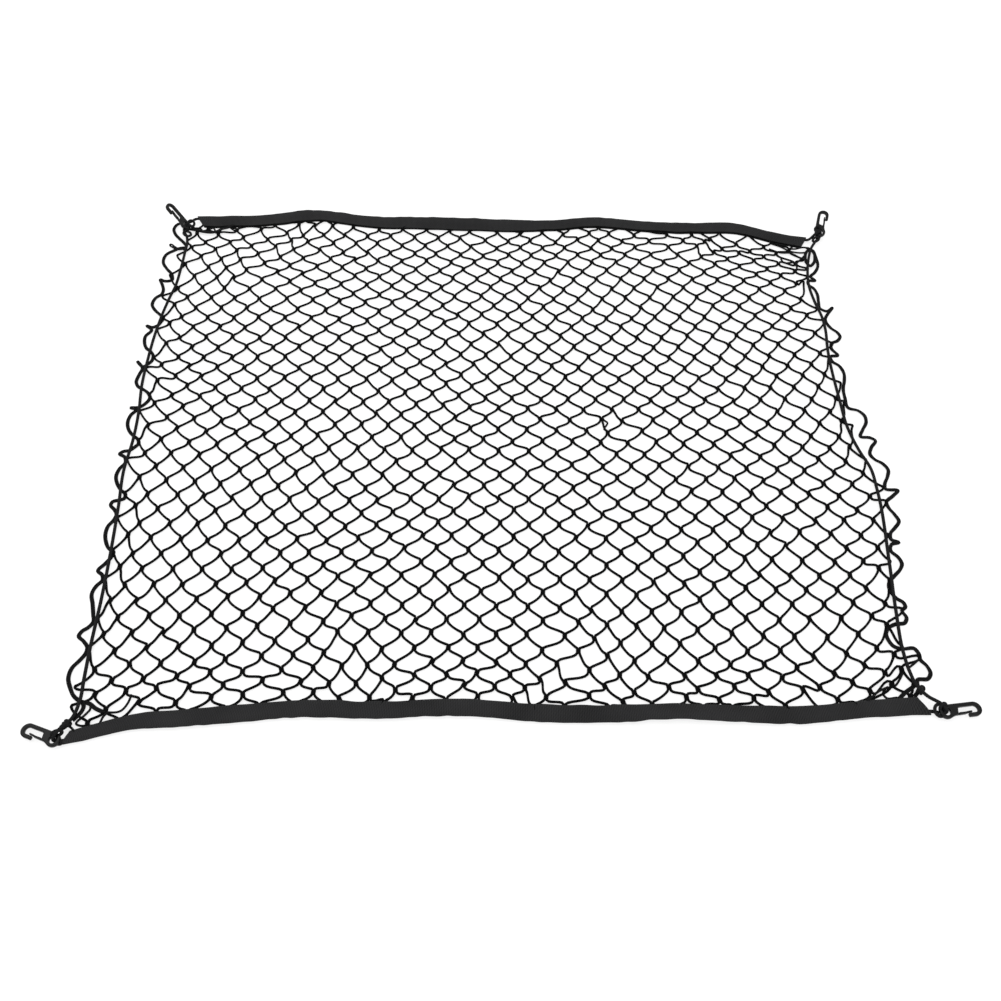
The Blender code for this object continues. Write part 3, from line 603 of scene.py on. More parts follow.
# ---------------------------------------------------------------- finishes
class Value:
    """A number in a material. Sums and products written with it add Math nodes."""

    def __init__(self, shader: "Shader", socket: bpy.types.NodeSocket) -> None:
        """Wrap an output socket."""
        self.shader = shader
        self.socket = socket

    def _with(self, operation: str, *others: "Value | float") -> "Value":
        """Add one Math node of this value and others."""
        values = {n: other for n, other in enumerate(others)}
        return self.shader.node("ShaderNodeMath", {"operation": operation}, values)

    def __add__(self, other: "Value | float") -> "Value":
        """Sum."""
        return self._with("ADD", self, other)

    __radd__ = __add__

    def __mul__(self, other: "Value | float") -> "Value":
        """Product."""
        return self._with("MULTIPLY", self, other)

    __rmul__ = __mul__

    def __sub__(self, other: "Value | float") -> "Value":
        """Difference."""
        return self._with("SUBTRACT", self, other)

    def __rsub__(self, other: "Value | float") -> "Value":
        """Difference the other way round."""
        return self._with("SUBTRACT", other, self)

    def sine(self) -> "Value":
        """Sine of radians."""
        return self._with("SINE", self)

    def above(self, other: "Value | float") -> "Value":
        """The greater of the two."""
        return self._with("MAXIMUM", self, other)

    def wave(self) -> "Value":
        """Sine of radians, brought to nought to one."""
        return self.sine() * 0.5 + 0.5


class Shader:
    """One material's node tree."""

    def __init__(self, name: str) -> None:
        """Make the material with its one shader node."""
        self.material = bpy.data.materials.new(name)
        self.material.use_nodes = True
        self.tree = self.material.node_tree
        self.surface = self.tree.nodes["Principled BSDF"]

    def node(self, kind: str, settings: dict | None = None, values: dict | None = None,
             output: int | str = 0) -> Value:
        """Add one node.

        Args:
            kind: the node's type.
            settings: attributes that are set first.
            values: input name or number to a value, a Value or a colour.
            output: which output comes back.

        Returns:
            The chosen output.
        """
        made = self.tree.nodes.new(kind)
        for key, value in (settings or {}).items():
            setattr(made, key, value)
        for key, value in (values or {}).items():
            if isinstance(value, Value):
                self.tree.links.new(value.socket, made.inputs[key])
            else:
                made.inputs[key].default_value = value
        return Value(self, made.outputs[output])

    def coordinates(self, kind: str) -> Value:
        """Texture coordinates of a kind: Object or UV."""
        return self.node("ShaderNodeTexCoord", output=kind)

    def apart(self, vector: Value) -> tuple[Value, Value, Value]:
        """The three numbers of a vector."""
        made = self.tree.nodes.new("ShaderNodeSeparateXYZ")
        self.tree.links.new(vector.socket, made.inputs[0])
        return tuple(Value(self, out) for out in made.outputs)

    def noise(self, place: Value, scale: float, detail: float) -> Value:
        """Even noise from nought to one."""
        return self.node("ShaderNodeTexNoise", {},
                         {"Vector": place, "Scale": scale, "Detail": detail})

    def blend(self, share: Value, first: tuple, second: tuple) -> Value:
        """A colour between two by a share."""
        return self.node("ShaderNodeMix", {"data_type": "RGBA"},
                         {0: share, 6: (*first, 1.0), 7: (*second, 1.0)}, output=2)

    def bump(self, height: Value, distance: float, strength: float) -> Value:
        """A normal from a height."""
        return self.node("ShaderNodeBump", {},
                         {"Height": height, "Distance": distance, "Strength": strength})

    def set(self, **sockets: "Value | float | tuple") -> None:
        """Set the surface's sockets: an underscore in a name stands for a space."""
        for key, value in sockets.items():
            socket = self.surface.inputs[key.replace("_", " ")]
            if isinstance(value, Value):
                self.tree.links.new(value.socket, socket)
            else:
                socket.default_value = value


@dataclass(frozen=True)
class BraidFinish:
    """Braided or knitted cord: two sets of ridges that wind round it the two ways."""

    name: str
    dark: tuple[float, float, float]
    light: tuple[float, float, float]
    roughness: float
    turns_per_cm: float
    ridges: int
    relief: float
    gloss: float
    fuzz_scale: float = 2600.0
    patch_scale: float = 22.0
    fuzz_relief: float = 0.35
    patch_roughness: float = 0.14
    bump_strength: float = 0.8

    def build(self) -> bpy.types.Material:
        """Make the material.

        The height is the greater of two sines, one of the length plus the way round and one of
        the length less the way round, so that the ridges cross.
        """
        shader = Shader(self.name)
        u, v, _ = shader.apart(shader.coordinates("UV"))
        place = shader.coordinates("Object")
        length = u * (2 * math.pi * self.turns_per_cm)
        turn = v * (2 * math.pi * self.ridges)
        height = (length + turn).sine().above((length - turn).sine()) * 0.5 + 0.5
        fuzz = shader.noise(place, self.fuzz_scale, 2.0)
        patch = shader.noise(place, self.patch_scale, 4.0)
        share = height * 0.55 + fuzz * 0.25 + patch * 0.35 - 0.12
        least = self.roughness - 0.5 * self.patch_roughness
        shader.set(Base_Color=shader.blend(share, self.dark, self.light),
                   Roughness=patch * self.patch_roughness + least,
                   Normal=shader.bump(height + fuzz * self.fuzz_relief, self.relief,
                                      self.bump_strength),
                   Specular_IOR_Level=self.gloss)
        return shader.material


@dataclass(frozen=True)
class TapeFinish:
    """Woven tape: fine ribs across it, a slight diagonal and soft uneven patches."""

    name: str
    dark: tuple[float, float, float]
    light: tuple[float, float, float]
    roughness: float
    ribs_per_cm: float
    picks_per_cm: float
    relief: float
    slope_per_cm: tuple[float, float] = (3.2, 2.2)
    fuzz_scale: float = 2200.0
    patch_scale: float = 16.0
    patch_roughness: float = 0.12
    bump_strength: float = 0.75
    gloss: float = 0.1

    def build(self) -> bpy.types.Material:
        """Make the material.

        The height is a sine of the length, for the ribs, plus weaker sines: one of the way across,
        for the picks, and one of both, for the diagonal of the weave.
        """
        shader = Shader(self.name)
        u, v, _ = shader.apart(shader.coordinates("UV"))
        place = shader.coordinates("Object")
        along, across = self.slope_per_cm
        rib = (u * (2 * math.pi * self.ribs_per_cm)).wave()
        pick = (v * (2 * math.pi * self.picks_per_cm)).wave()
        slope = (u * (2 * math.pi * along) + v * (2 * math.pi * across)).wave()
        fuzz = shader.noise(place, self.fuzz_scale, 2.0)
        patch = shader.noise(place, self.patch_scale, 5.0)
        height = rib * 0.6 + pick * 0.45 + slope * 0.2 + fuzz * 0.3
        share = rib * 0.34 + pick * 0.12 + slope * 0.14 + fuzz * 0.2 + patch * 0.6
        least = self.roughness - 0.5 * self.patch_roughness
        shader.set(Base_Color=shader.blend(share - 0.3, self.dark, self.light),
                   Roughness=patch * self.patch_roughness + least,
                   Normal=shader.bump(height, self.relief, self.bump_strength),
                   Specular_IOR_Level=self.gloss)
        return shader.material


@dataclass(frozen=True)
class PlasticFinish:
    """Moulded black plastic: glossy, with a faint grain and fine scuffs."""

    name: str
    colour: tuple[float, float, float]
    scuffed: tuple[float, float, float]
    roughness: float
    grain_scale: float = 900.0
    patch_scale: float = 60.0
    scuffs_above: float = 0.52
    scuff_gain: float = 2.2
    grain_roughness: float = 0.1
    scuff_roughness: float = 0.5
    relief: float = 0.00008
    bump_strength: float = 0.35
    gloss: float = 0.17

    def build(self) -> bpy.types.Material:
        """Make the material: noise turns the colour a little and the gloss a little more."""
        shader = Shader(self.name)
        place = shader.coordinates("Object")
        grain = shader.noise(place, self.grain_scale, 3.0)
        patch = shader.noise(place, self.patch_scale, 5.0)
        scuff = (patch.above(self.scuffs_above) - self.scuffs_above) * self.scuff_gain
        least = self.roughness - 0.5 * self.grain_roughness
        shader.set(Base_Color=shader.blend(scuff + grain * 0.1, self.colour, self.scuffed),
                   Roughness=grain * self.grain_roughness + scuff * self.scuff_roughness + least,
                   Normal=shader.bump(grain, self.relief, self.bump_strength),
                   Specular_IOR_Level=self.gloss)
        return shader.material


@dataclass(frozen=True)
class FloorFinish:
    """Plain pale floor."""

    name: str
    colour: tuple[float, float, float]
    glow: float
    roughness: float = 0.9
    gloss: float = 0.1

    def build(self) -> bpy.types.Material:
        """Make the material: a weak glow keeps the shadows as faint as in the photograph."""
        shader = Shader(self.name)
        shader.set(Base_Color=(*self.colour, 1.0), Roughness=self.roughness,
                   Specular_IOR_Level=self.gloss, Emission_Color=(1.0, 1.0, 1.0, 1.0),
                   Emission_Strength=self.glow)
        return shader.material


MESH_FINISH = BraidFinish("mesh_cord", (0.0008, 0.0008, 0.0009), (0.0042, 0.0042, 0.0044),
                          0.85, 7.0, 3, 0.00018, 0.04)
ROPE_FINISH = BraidFinish("side_rope", (0.002, 0.002, 0.0021), (0.009, 0.009, 0.0094),
                          0.82, 6.0, 3, 0.0002, 0.08)
SHOCK_FINISH = BraidFinish("shock_cord", (0.002, 0.002, 0.0021), (0.013, 0.013, 0.0136),
                           0.68, 4.6, 5, 0.00022, 0.07)
TAPE_FINISH = TapeFinish("edge_tape", (0.004, 0.004, 0.0041), (0.036, 0.036, 0.037),
                         0.88, 5.6, 9.0, 0.0003)
PLASTIC_FINISH = PlasticFinish("hook_plastic", (0.002, 0.002, 0.0021), (0.010, 0.010, 0.0104), 0.22)
FLOOR_FINISH = FloorFinish("floor", (0.32, 0.32, 0.32), 0.71)


# ---------------------------------------------------------------- the taped edges
@dataclass
class TapedEdge:
    """A tape folded over one edge of the mesh and laid along it.

    The sway, the ripple and the creases are each given as a number of knots and a spread.
    """

    name: str
    node: str
    side: int
    inner_ends: tuple[float, float]
    outer_ends: tuple[float, float]
    stations: tuple[TapeStation, ...]
    width: float = 0.0193
    skin: float = 0.0010
    mouth: float = 0.0030
    tunnel: float = 0.0046
    level_until: float = 0.011
    level_from: float = 0.0015
    flat_margin: float = 0.001
    drawn_in: tuple[float, float] = (0.0, 0.0)
    drawn_reach: float = 0.11
    sway: tuple[int, float] = (46, 0.00035)
    ripple: tuple[int, float] = (46, 0.00030)
    creases: tuple[int, float] = (110, 0.00028)
    top_above: float = 0.002
    slant_share: float = 0.012
    section_count: int = 60
    along: int = 420
    seed: int = 1

    def __post_init__(self) -> None:
        """Read the stations at the sections that the tape's own lie is built on."""
        rows = np.array(self.stations)
        self.places = np.linspace(*self.inner_ends, self.section_count)
        self.lie = smooth_read(rows[:, 0], rows[:, 1:], self.places)

    def at(self, x: Array) -> tuple[Array, Array]:
        """Y of the inner edge and the turn off the floor, in radians, at X."""
        inner_y = np.interp(x, self.places, self.lie[:, 0])
        turn = np.radians(np.clip(np.interp(x, self.places, self.lie[:, 1]), 0.0, None))
        return inner_y, turn

    def place(self, x: Array, depth: Array, height: Array) -> Array:
        """Points at a depth behind the inner edge and a height over the tape's underside."""
        inner_y, turn = self.at(x)
        from_ends = (x - self.inner_ends[0], self.inner_ends[1] - x)
        for share, distance in zip(self.drawn_in, from_ends):
            depth = depth * (1.0 - share * np.clip(1.0 - distance / self.drawn_reach, 0.0, 1.0))
        across = depth * np.cos(turn) - height * np.sin(turn)
        up = depth * np.sin(turn) + height * np.cos(turn)
        return np.stack(np.broadcast_arrays(x, inner_y + self.side * across, up), axis=-1)

    def section(self) -> tuple[Array, Array]:
        """The folded tape cut across: a hairpin with round lips and a round fold.

        Returns:
            Points (depth, height) of the closed outline and the distance run along them.
        """
        top_lip = self.skin + self.mouth
        top_fold = self.skin + self.tunnel
        full = top_fold + self.skin
        middle = 0.5 * full
        half = 0.5 * self.skin
        fold_x = self.width - middle
        turn = np.linspace(-90, 90, 13)
        outer_fold = bend(fold_x, middle, middle, turn)
        inner_fold = bend(fold_x, middle, middle - self.skin, -turn)
        lip = np.linspace(90, 270, 5)
        top_end = bend(half, top_lip + half, half, lip)
        low_end = bend(half, half, half, lip)
        level = np.linspace(self.level_from, fold_x - self.flat_margin, 9)
        rise = np.clip((level - self.flat_margin) / self.level_until, 0, 1)
        under_top = top_lip + (top_fold - top_lip) * ease(rise)
        parts = [
            np.stack([level, np.zeros_like(level)], 1), outer_fold,
            np.stack([level, under_top + self.skin], 1)[::-1], top_end,
            np.stack([level, under_top], 1), inner_fold,
            np.stack([level, np.full_like(level, self.skin)], 1)[::-1], low_end,
        ]
        points = np.concatenate(parts)
        spans = np.linalg.norm(np.diff(points, axis=0, append=points[:1]), axis=1)
        return points, np.concatenate([[0.0], np.cumsum(spans)])

    @staticmethod
    def wander(draw: np.random.Generator, knots: int, spread: float, share: Array) -> Array:
        """A smooth random line along the tape.

        Args:
            draw: source of the random numbers.
            knots: how many places get a number of their own.
            spread: usual size of such a number.
            share: how far along the tape each section lies, from nought to one.

        Returns:
            The line's value at each section.
        """
        return smooth_read(np.linspace(0.0, 1.0, knots), draw.normal(0.0, spread, knots), share)

    def build(self) -> bpy.types.Object:
        """Carry the section along the edge, a little uneven, with slanted ends."""
        section, run = self.section()
        share = np.linspace(0.0, 1.0, self.along)
        x = self.inner_ends[0] + (self.inner_ends[1] - self.inner_ends[0]) * share
        draw = np.random.default_rng(self.seed)
        sway, ripple, creases = (self.wander(draw, *line, share)[:, None]
                                 for line in (self.sway, self.ripple, self.creases))
        free = np.clip(1 - section[:, 0] / self.width, 0, 1)
        free_top = free * (section[:, 1] > self.top_above)
        depth = section[:, 0] + sway * free + creases * (1.0 - free)
        height = section[:, 1] + np.clip(ripple, 0, None) * free_top
        points = self.place(x[:, None], depth, height)
        for end, from_end in ((0, share), (1, 1 - share)):
            fade = np.clip(1 - from_end / self.slant_share, 0, 1)
            slant = self.outer_ends[end] - self.inner_ends[end]
            points[..., 0] += slant * fade[:, None] * section[None, :, 0] / self.width
        points[..., 2] = np.maximum(points[..., 2], 0.0)
        points = points - MIDDLE
        maker = MeshMaker()
        length = path_length(points[:, 0])[None]
        if self.side < 0:
            points, run = points[:, ::-1], run[-1] - run[::-1]
        maker.add_grids(points[None], length / CM, run / CM, True, True)
        item = maker.finish(self.name, TAPE_FINISH.build(), TAPE_ANGLE)
        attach(item, BODY)
        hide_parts(self.node)
        return item


# ---------------------------------------------------------------- the mesh
@dataclass
class DiamondMesh:
    """Elastic cords that run from the far tape to the near one and meet by turns left and right."""

    far: TapedEdge
    near: TapedEdge
    strand_radius: float = 0.00147
    bar_half: float = 0.0031
    edge_bar_half: float = 0.0012
    bar_apart: float = 0.00118
    bar_tilt: float = 11.0
    leave_angle: float = 28.0
    reach_angle: float = 31.0
    angle_spread: float = 7.0
    leave_pull: float = 0.85
    reach_pull: float = 0.95
    per_strand: int = 7
    sides: int = 6
    in_tape: float = 0.009
    rows_beyond: int = 3
    spacing_beyond: float = 0.018
    loose_rows: float = 5.0
    spread_middle: float = 0.0009
    spread_edge: float = 0.0026
    end_inset: float = 0.001
    end_spread: float = 0.007
    bar_swell: float = 0.14
    rise_knots: int = 90
    rise_spread: float = 0.0005
    clear_of_tape: float = 0.0003
    lift_reach: float = 0.030
    mouth_from: float = -0.0015
    flat_half: tuple[float, float] = (0.45, 0.78)
    seed: int = 5
    joints: Array = field(init=False)

    def __post_init__(self) -> None:
        """Work out every joint's place."""
        self.rows = np.arange(-self.rows_beyond, LAST_ROW + self.rows_beyond + 1)
        self.joints = self.even_places() + self.unevenness()
        self.joints += self.local_shifts(self.joints)
        measured = {0: LEFT_EDGE_JOINTS, 1: LEFT_FIRST_JOINTS,
                    LAST_COLUMN - 1: RIGHT_FIRST_JOINTS, LAST_COLUMN: RIGHT_EDGE_JOINTS}
        for column, places in measured.items():
            for place in places:
                self.joints[place.row + self.rows_beyond, column] = (place.x * MM, place.y * MM)
        for tape, beyond in ((self.far, -self.rows), (self.near, self.rows - LAST_ROW)):
            loose = self.end_inset - self.end_spread * np.clip(-beyond, 0, None)[:, None]
            self.joints[..., 0] = np.clip(self.joints[..., 0], tape.inner_ends[0] + loose,
                                          tape.inner_ends[1] - loose)

    def even_places(self) -> Array:
        """Joints of the smooth lie, shape (rows, columns, 2)."""
        known = np.array(MESH_ROWS)
        read = smooth_read(known[:, 0], known[:, 1:], np.clip(self.rows, 0, LAST_ROW))
        columns = np.arange(LAST_COLUMN + 1)
        x = read[:, :1] + (read[:, 1:2] - read[:, :1]) * columns / LAST_COLUMN
        y = smooth_read(np.array(STATION_COLUMNS), read[:, 2:].T, columns).T
        beyond = self.rows - np.clip(self.rows, 0, LAST_ROW)
        return np.stack([x, y - beyond[:, None] * self.spacing_beyond], -1)

    def edge_share(self, rows: Array) -> Array:
        """One just beyond the first and last half rows and nought from the fourth one in."""
        return np.clip(1 - np.minimum(rows + 1, LAST_ROW + 1 - rows) / self.loose_rows, 0, 1)

    def unevenness(self) -> Array:
        """The measured sway, and a small seeded spread of each joint that is wider by the tapes."""
        draw = np.random.default_rng(self.seed)
        shape = (len(self.rows), LAST_COLUMN + 1, 2)
        more = self.spread_edge - self.spread_middle
        spread = self.spread_middle + more * self.edge_share(self.rows)
        fine = np.clip(draw.normal(0.0, 1.0, shape), -2, 2) * spread[:, None, None]
        sway = np.array([np.transpose((line.right, line.far)) for line in MESH_SWAYS]) * MM
        known = np.array([line.row for line in MESH_SWAYS])
        down = smooth_read(known, sway.reshape(len(known), -1), self.rows)
        down = down.reshape(len(self.rows), len(SWAY_COLUMNS), 2).swapaxes(0, 1)
        across = smooth_read(np.array(SWAY_COLUMNS), down.reshape(len(SWAY_COLUMNS), -1),
                             np.arange(LAST_COLUMN + 1))
        return fine + across.reshape(LAST_COLUMN + 1, -1, 2).swapaxes(0, 1)

    def local_shifts(self, joints: Array) -> Array:
        """Sum of the local pulls: each fades in a bell curve with the distance from its spot."""
        total = np.zeros_like(joints)
        for spot in LOCAL_SHIFTS:
            away = joints - np.array([spot.x, spot.y]) * MM
            fade = np.exp(-np.sum(away ** 2, -1) / (spot.reach * MM) ** 2)
            total += fade[..., None] * np.array([spot.right, spot.far]) * MM
        return total

    def cord_paths(self) -> Array:
        """Plan paths of all cords and their swell, shape (cords, points, 3).

        Cord j meets its left neighbour in column j where j plus the row is odd, and its right one
        in column j + 1 elsewhere. There it runs straight beside the neighbour. Between two such
        bars it is a cubic that leaves steeply and arrives flat.
        """
        cords = np.arange(LAST_COLUMN)
        odd = (cords[:, None] + self.rows[None]) % 2 != 0
        column = cords[:, None] + np.where(odd, 0, 1)
        joint = self.joints[np.arange(len(self.rows))[None], column]
        draw = np.random.default_rng(self.seed + 1)
        tilts = np.radians(draw.normal(0.0, self.bar_tilt, self.joints.shape[:2]))
        tilt = tilts[np.arange(len(self.rows))[None], column]
        at_edge = (column == 0) | (column == LAST_COLUMN)
        half = np.where(at_edge, self.edge_bar_half, self.bar_half)[..., None]
        apart = np.where(at_edge, 0.0, np.where(odd, 1.0, -1.0) * self.bar_apart)[..., None]
        up = np.stack([np.sin(tilt), np.cos(tilt)], -1)
        across = np.stack([np.cos(tilt), -np.sin(tilt)], -1)
        top = joint + up * half + across * apart
        low = joint - up * half + across * apart
        start, end = low[:, :-1], top[:, 1:]
        span = np.linalg.norm(end - start, axis=-1, keepdims=True)
        way = np.sign(end[..., :1] - start[..., :1])
        spread = (self.angle_spread * (1.0 + self.edge_share(self.rows[:-1])))[None, :, None]
        leave = np.radians(self.leave_angle + draw.normal(0, 1, span.shape) * spread)
        reach = np.radians(self.reach_angle + draw.normal(0, 1, span.shape) * spread)
        leaving = np.concatenate([way * np.sin(leave), -np.cos(leave)], -1)
        arriving = np.concatenate([way * np.cos(reach), -np.sin(reach)], -1)
        begin_run = span * self.leave_pull * leaving
        end_run = span * self.reach_pull * arriving
        s = np.linspace(0.0, 1.0, self.per_strand)[:, None]
        start, end, begin_run, end_run = (each[:, :, None, :]
                                          for each in (start, end, begin_run, end_run))
        strands = ((1 + 2 * s) * (1 - s) ** 2 * start + s * (1 - s) ** 2 * begin_run
                   + s * s * (3 - 2 * s) * end - s * s * (1 - s) * end_run)
        middle = 0.5 * (top + low)[:, 1:, None, :]
        plan = np.concatenate([strands, middle], 2)
        swell = 1.0 + self.bar_swell * np.append(np.abs(2 * s[:, 0] - 1) ** 3, 1.0)
        swell = np.broadcast_to(swell[:, None], plan.shape[:3] + (1,))
        return np.concatenate([plan, swell], -1).reshape(len(cords), -1, 3)

    def height_over_floor(self, count: int, points: int) -> Array:
        """How far each cord's middle stands over what it lies on: its radius and a little more."""
        draw = np.random.default_rng(self.seed + 2)
        knots = np.linspace(0, 1, self.rise_knots)
        rise = np.abs(draw.normal(0.0, self.rise_spread, (self.rise_knots, count)))
        return self.strand_radius + smooth_read(knots, rise, np.linspace(0, 1, points)).T.clip(0)

    def lay_down(self, plan: Array, height: Array) -> Array:
        """Final places: flat on the floor, raised into the mouth of each tape near it."""
        x, y = plan[..., 0], plan[..., 1]
        points = np.stack([x, y, height], -1)
        for tape in (self.far, self.near):
            lowest = tape.skin + self.clear_of_tape
            inside_x = np.clip(x, *tape.inner_ends)
            inner_y, _ = tape.at(inside_x)
            depth = (y - inner_y) * tape.side
            s = np.clip((depth + self.lift_reach) / self.lift_reach, 0, 1)
            lift = lowest * s * s * (3 - 2 * s)
            points[..., 2] += np.where(depth < self.mouth_from, lift, 0.0)
            taped = tape.place(inside_x, depth, height + lowest)
            taped[..., 0] = x
            points = np.where((depth >= self.mouth_from)[..., None], taped, points)
        return points

    def cut_to_tapes(self, plan: Array) -> Array:
        """Shorten each cord to what lies between the tapes or a little inside them."""
        kept = []
        count = plan.shape[1]
        for path in plan:
            inside = np.ones(count, bool)
            for tape in (self.far, self.near):
                inner_y, _ = tape.at(np.clip(path[:, 0], *tape.inner_ends))
                inside &= (path[:, 1] - inner_y) * tape.side < self.in_tape
            first, last = np.flatnonzero(inside)[[0, -1]]
            places = np.linspace(first, last, count)
            kept.append(np.stack([np.interp(places, np.arange(count), values)
                                  for values in path.T], 1))
        return np.array(kept)

    def build(self) -> list[bpy.types.Object]:
        """Make the cords of both halves."""
        plan = self.cut_to_tapes(self.cord_paths())
        height = self.height_over_floor(*plan.shape[:2])
        paths = self.lay_down(plan, height) - MIDDLE
        material = MESH_FINISH.build()
        made = []
        half = LAST_COLUMN // 2
        halves = {"mesh_left_half": slice(0, half), "mesh_right_half": slice(half, None)}
        for name, chosen in halves.items():
            maker = MeshMaker()
            add_tubes(maker, paths[chosen], self.strand_radius * plan[chosen, :, 2], self.sides)
            item = maker.finish(name, material, CORD_ANGLE)
            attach(item, BODY)
            length = path_length(paths[chosen])[:, -1].sum()
            area = float(length * math.pi * self.strand_radius)
            made.append(item)
        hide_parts("net")
        return made


@dataclass
class SideRope:
    """The doubled rope of one side, in loops and folded tips about the shock cord."""

    side: Side
    points: tuple[tuple[float, float], ...]
    strand_radius: float = 0.00128
    apart: float = 0.00108
    lie: float = 0.0014
    winds: tuple[tuple[float, float], ...] = ((0.5, 0.011), (0.25, 0.0037))
    raised: float = 0.6
    step: float = 0.0016
    sides: int = 8

    def build(self) -> bpy.types.Object:
        """Two strands beside each other that wind slowly about their common path.

        How far they wind is a sum of sines of the length, each with a size and a reach.
        """
        route = np.array([(x * MM, y * MM, self.lie) for x, y in self.points])
        path = along_path(route, self.step)
        run = unit(np.gradient(path, axis=0))
        across = unit(np.cross(run, UP))
        length = path_length(path[None])[0]
        wind = sum(size * np.sin(length / reach) for size, reach in self.winds)
        lift = np.abs(np.sin(wind)) * self.raised
        offset = across * np.cos(wind)[:, None] + UP * lift[:, None]
        paths = np.stack([path + offset * self.apart, path - offset * self.apart]) - MIDDLE
        paths[..., 2] = np.maximum(paths[..., 2], self.strand_radius)
        maker = MeshMaker()
        add_tubes(maker, paths, self.strand_radius, self.sides)
        item = maker.finish("side_rope_" + self.side.value, ROPE_FINISH.build(), CORD_ANGLE)
        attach(item, BODY)
        return item


@dataclass
class StrayStrands:
    """Strands beside the corners that lie in loops and bunches of their own."""

    strand_radius: float = 0.00130
    apart: float = 0.00105
    lie: float = 0.0021
    level_step: float = 0.0011
    levels: int = 3
    step: float = 0.0016
    sides: int = 7

    def build(self) -> bpy.types.Object:
        """Carry a strand, or two side by side, along each route."""
        maker = MeshMaker()
        for number, stray in enumerate(STRAYS):
            lie = self.lie + self.level_step * (number % self.levels)
            path = along_path(np.array([(x * MM, y * MM, lie) for x, y in stray.route]), self.step)
            across = unit(np.cross(np.gradient(path, axis=0), UP))
            offsets = (self.apart, -self.apart) if stray.doubled else (0.0,)
            paths = np.stack([path + across * offset for offset in offsets]) - MIDDLE
            add_tubes(maker, paths, self.strand_radius, self.sides)
        item = maker.finish("stray_strands", ROPE_FINISH.build(), CORD_ANGLE)
        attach(item, BODY)
        return item


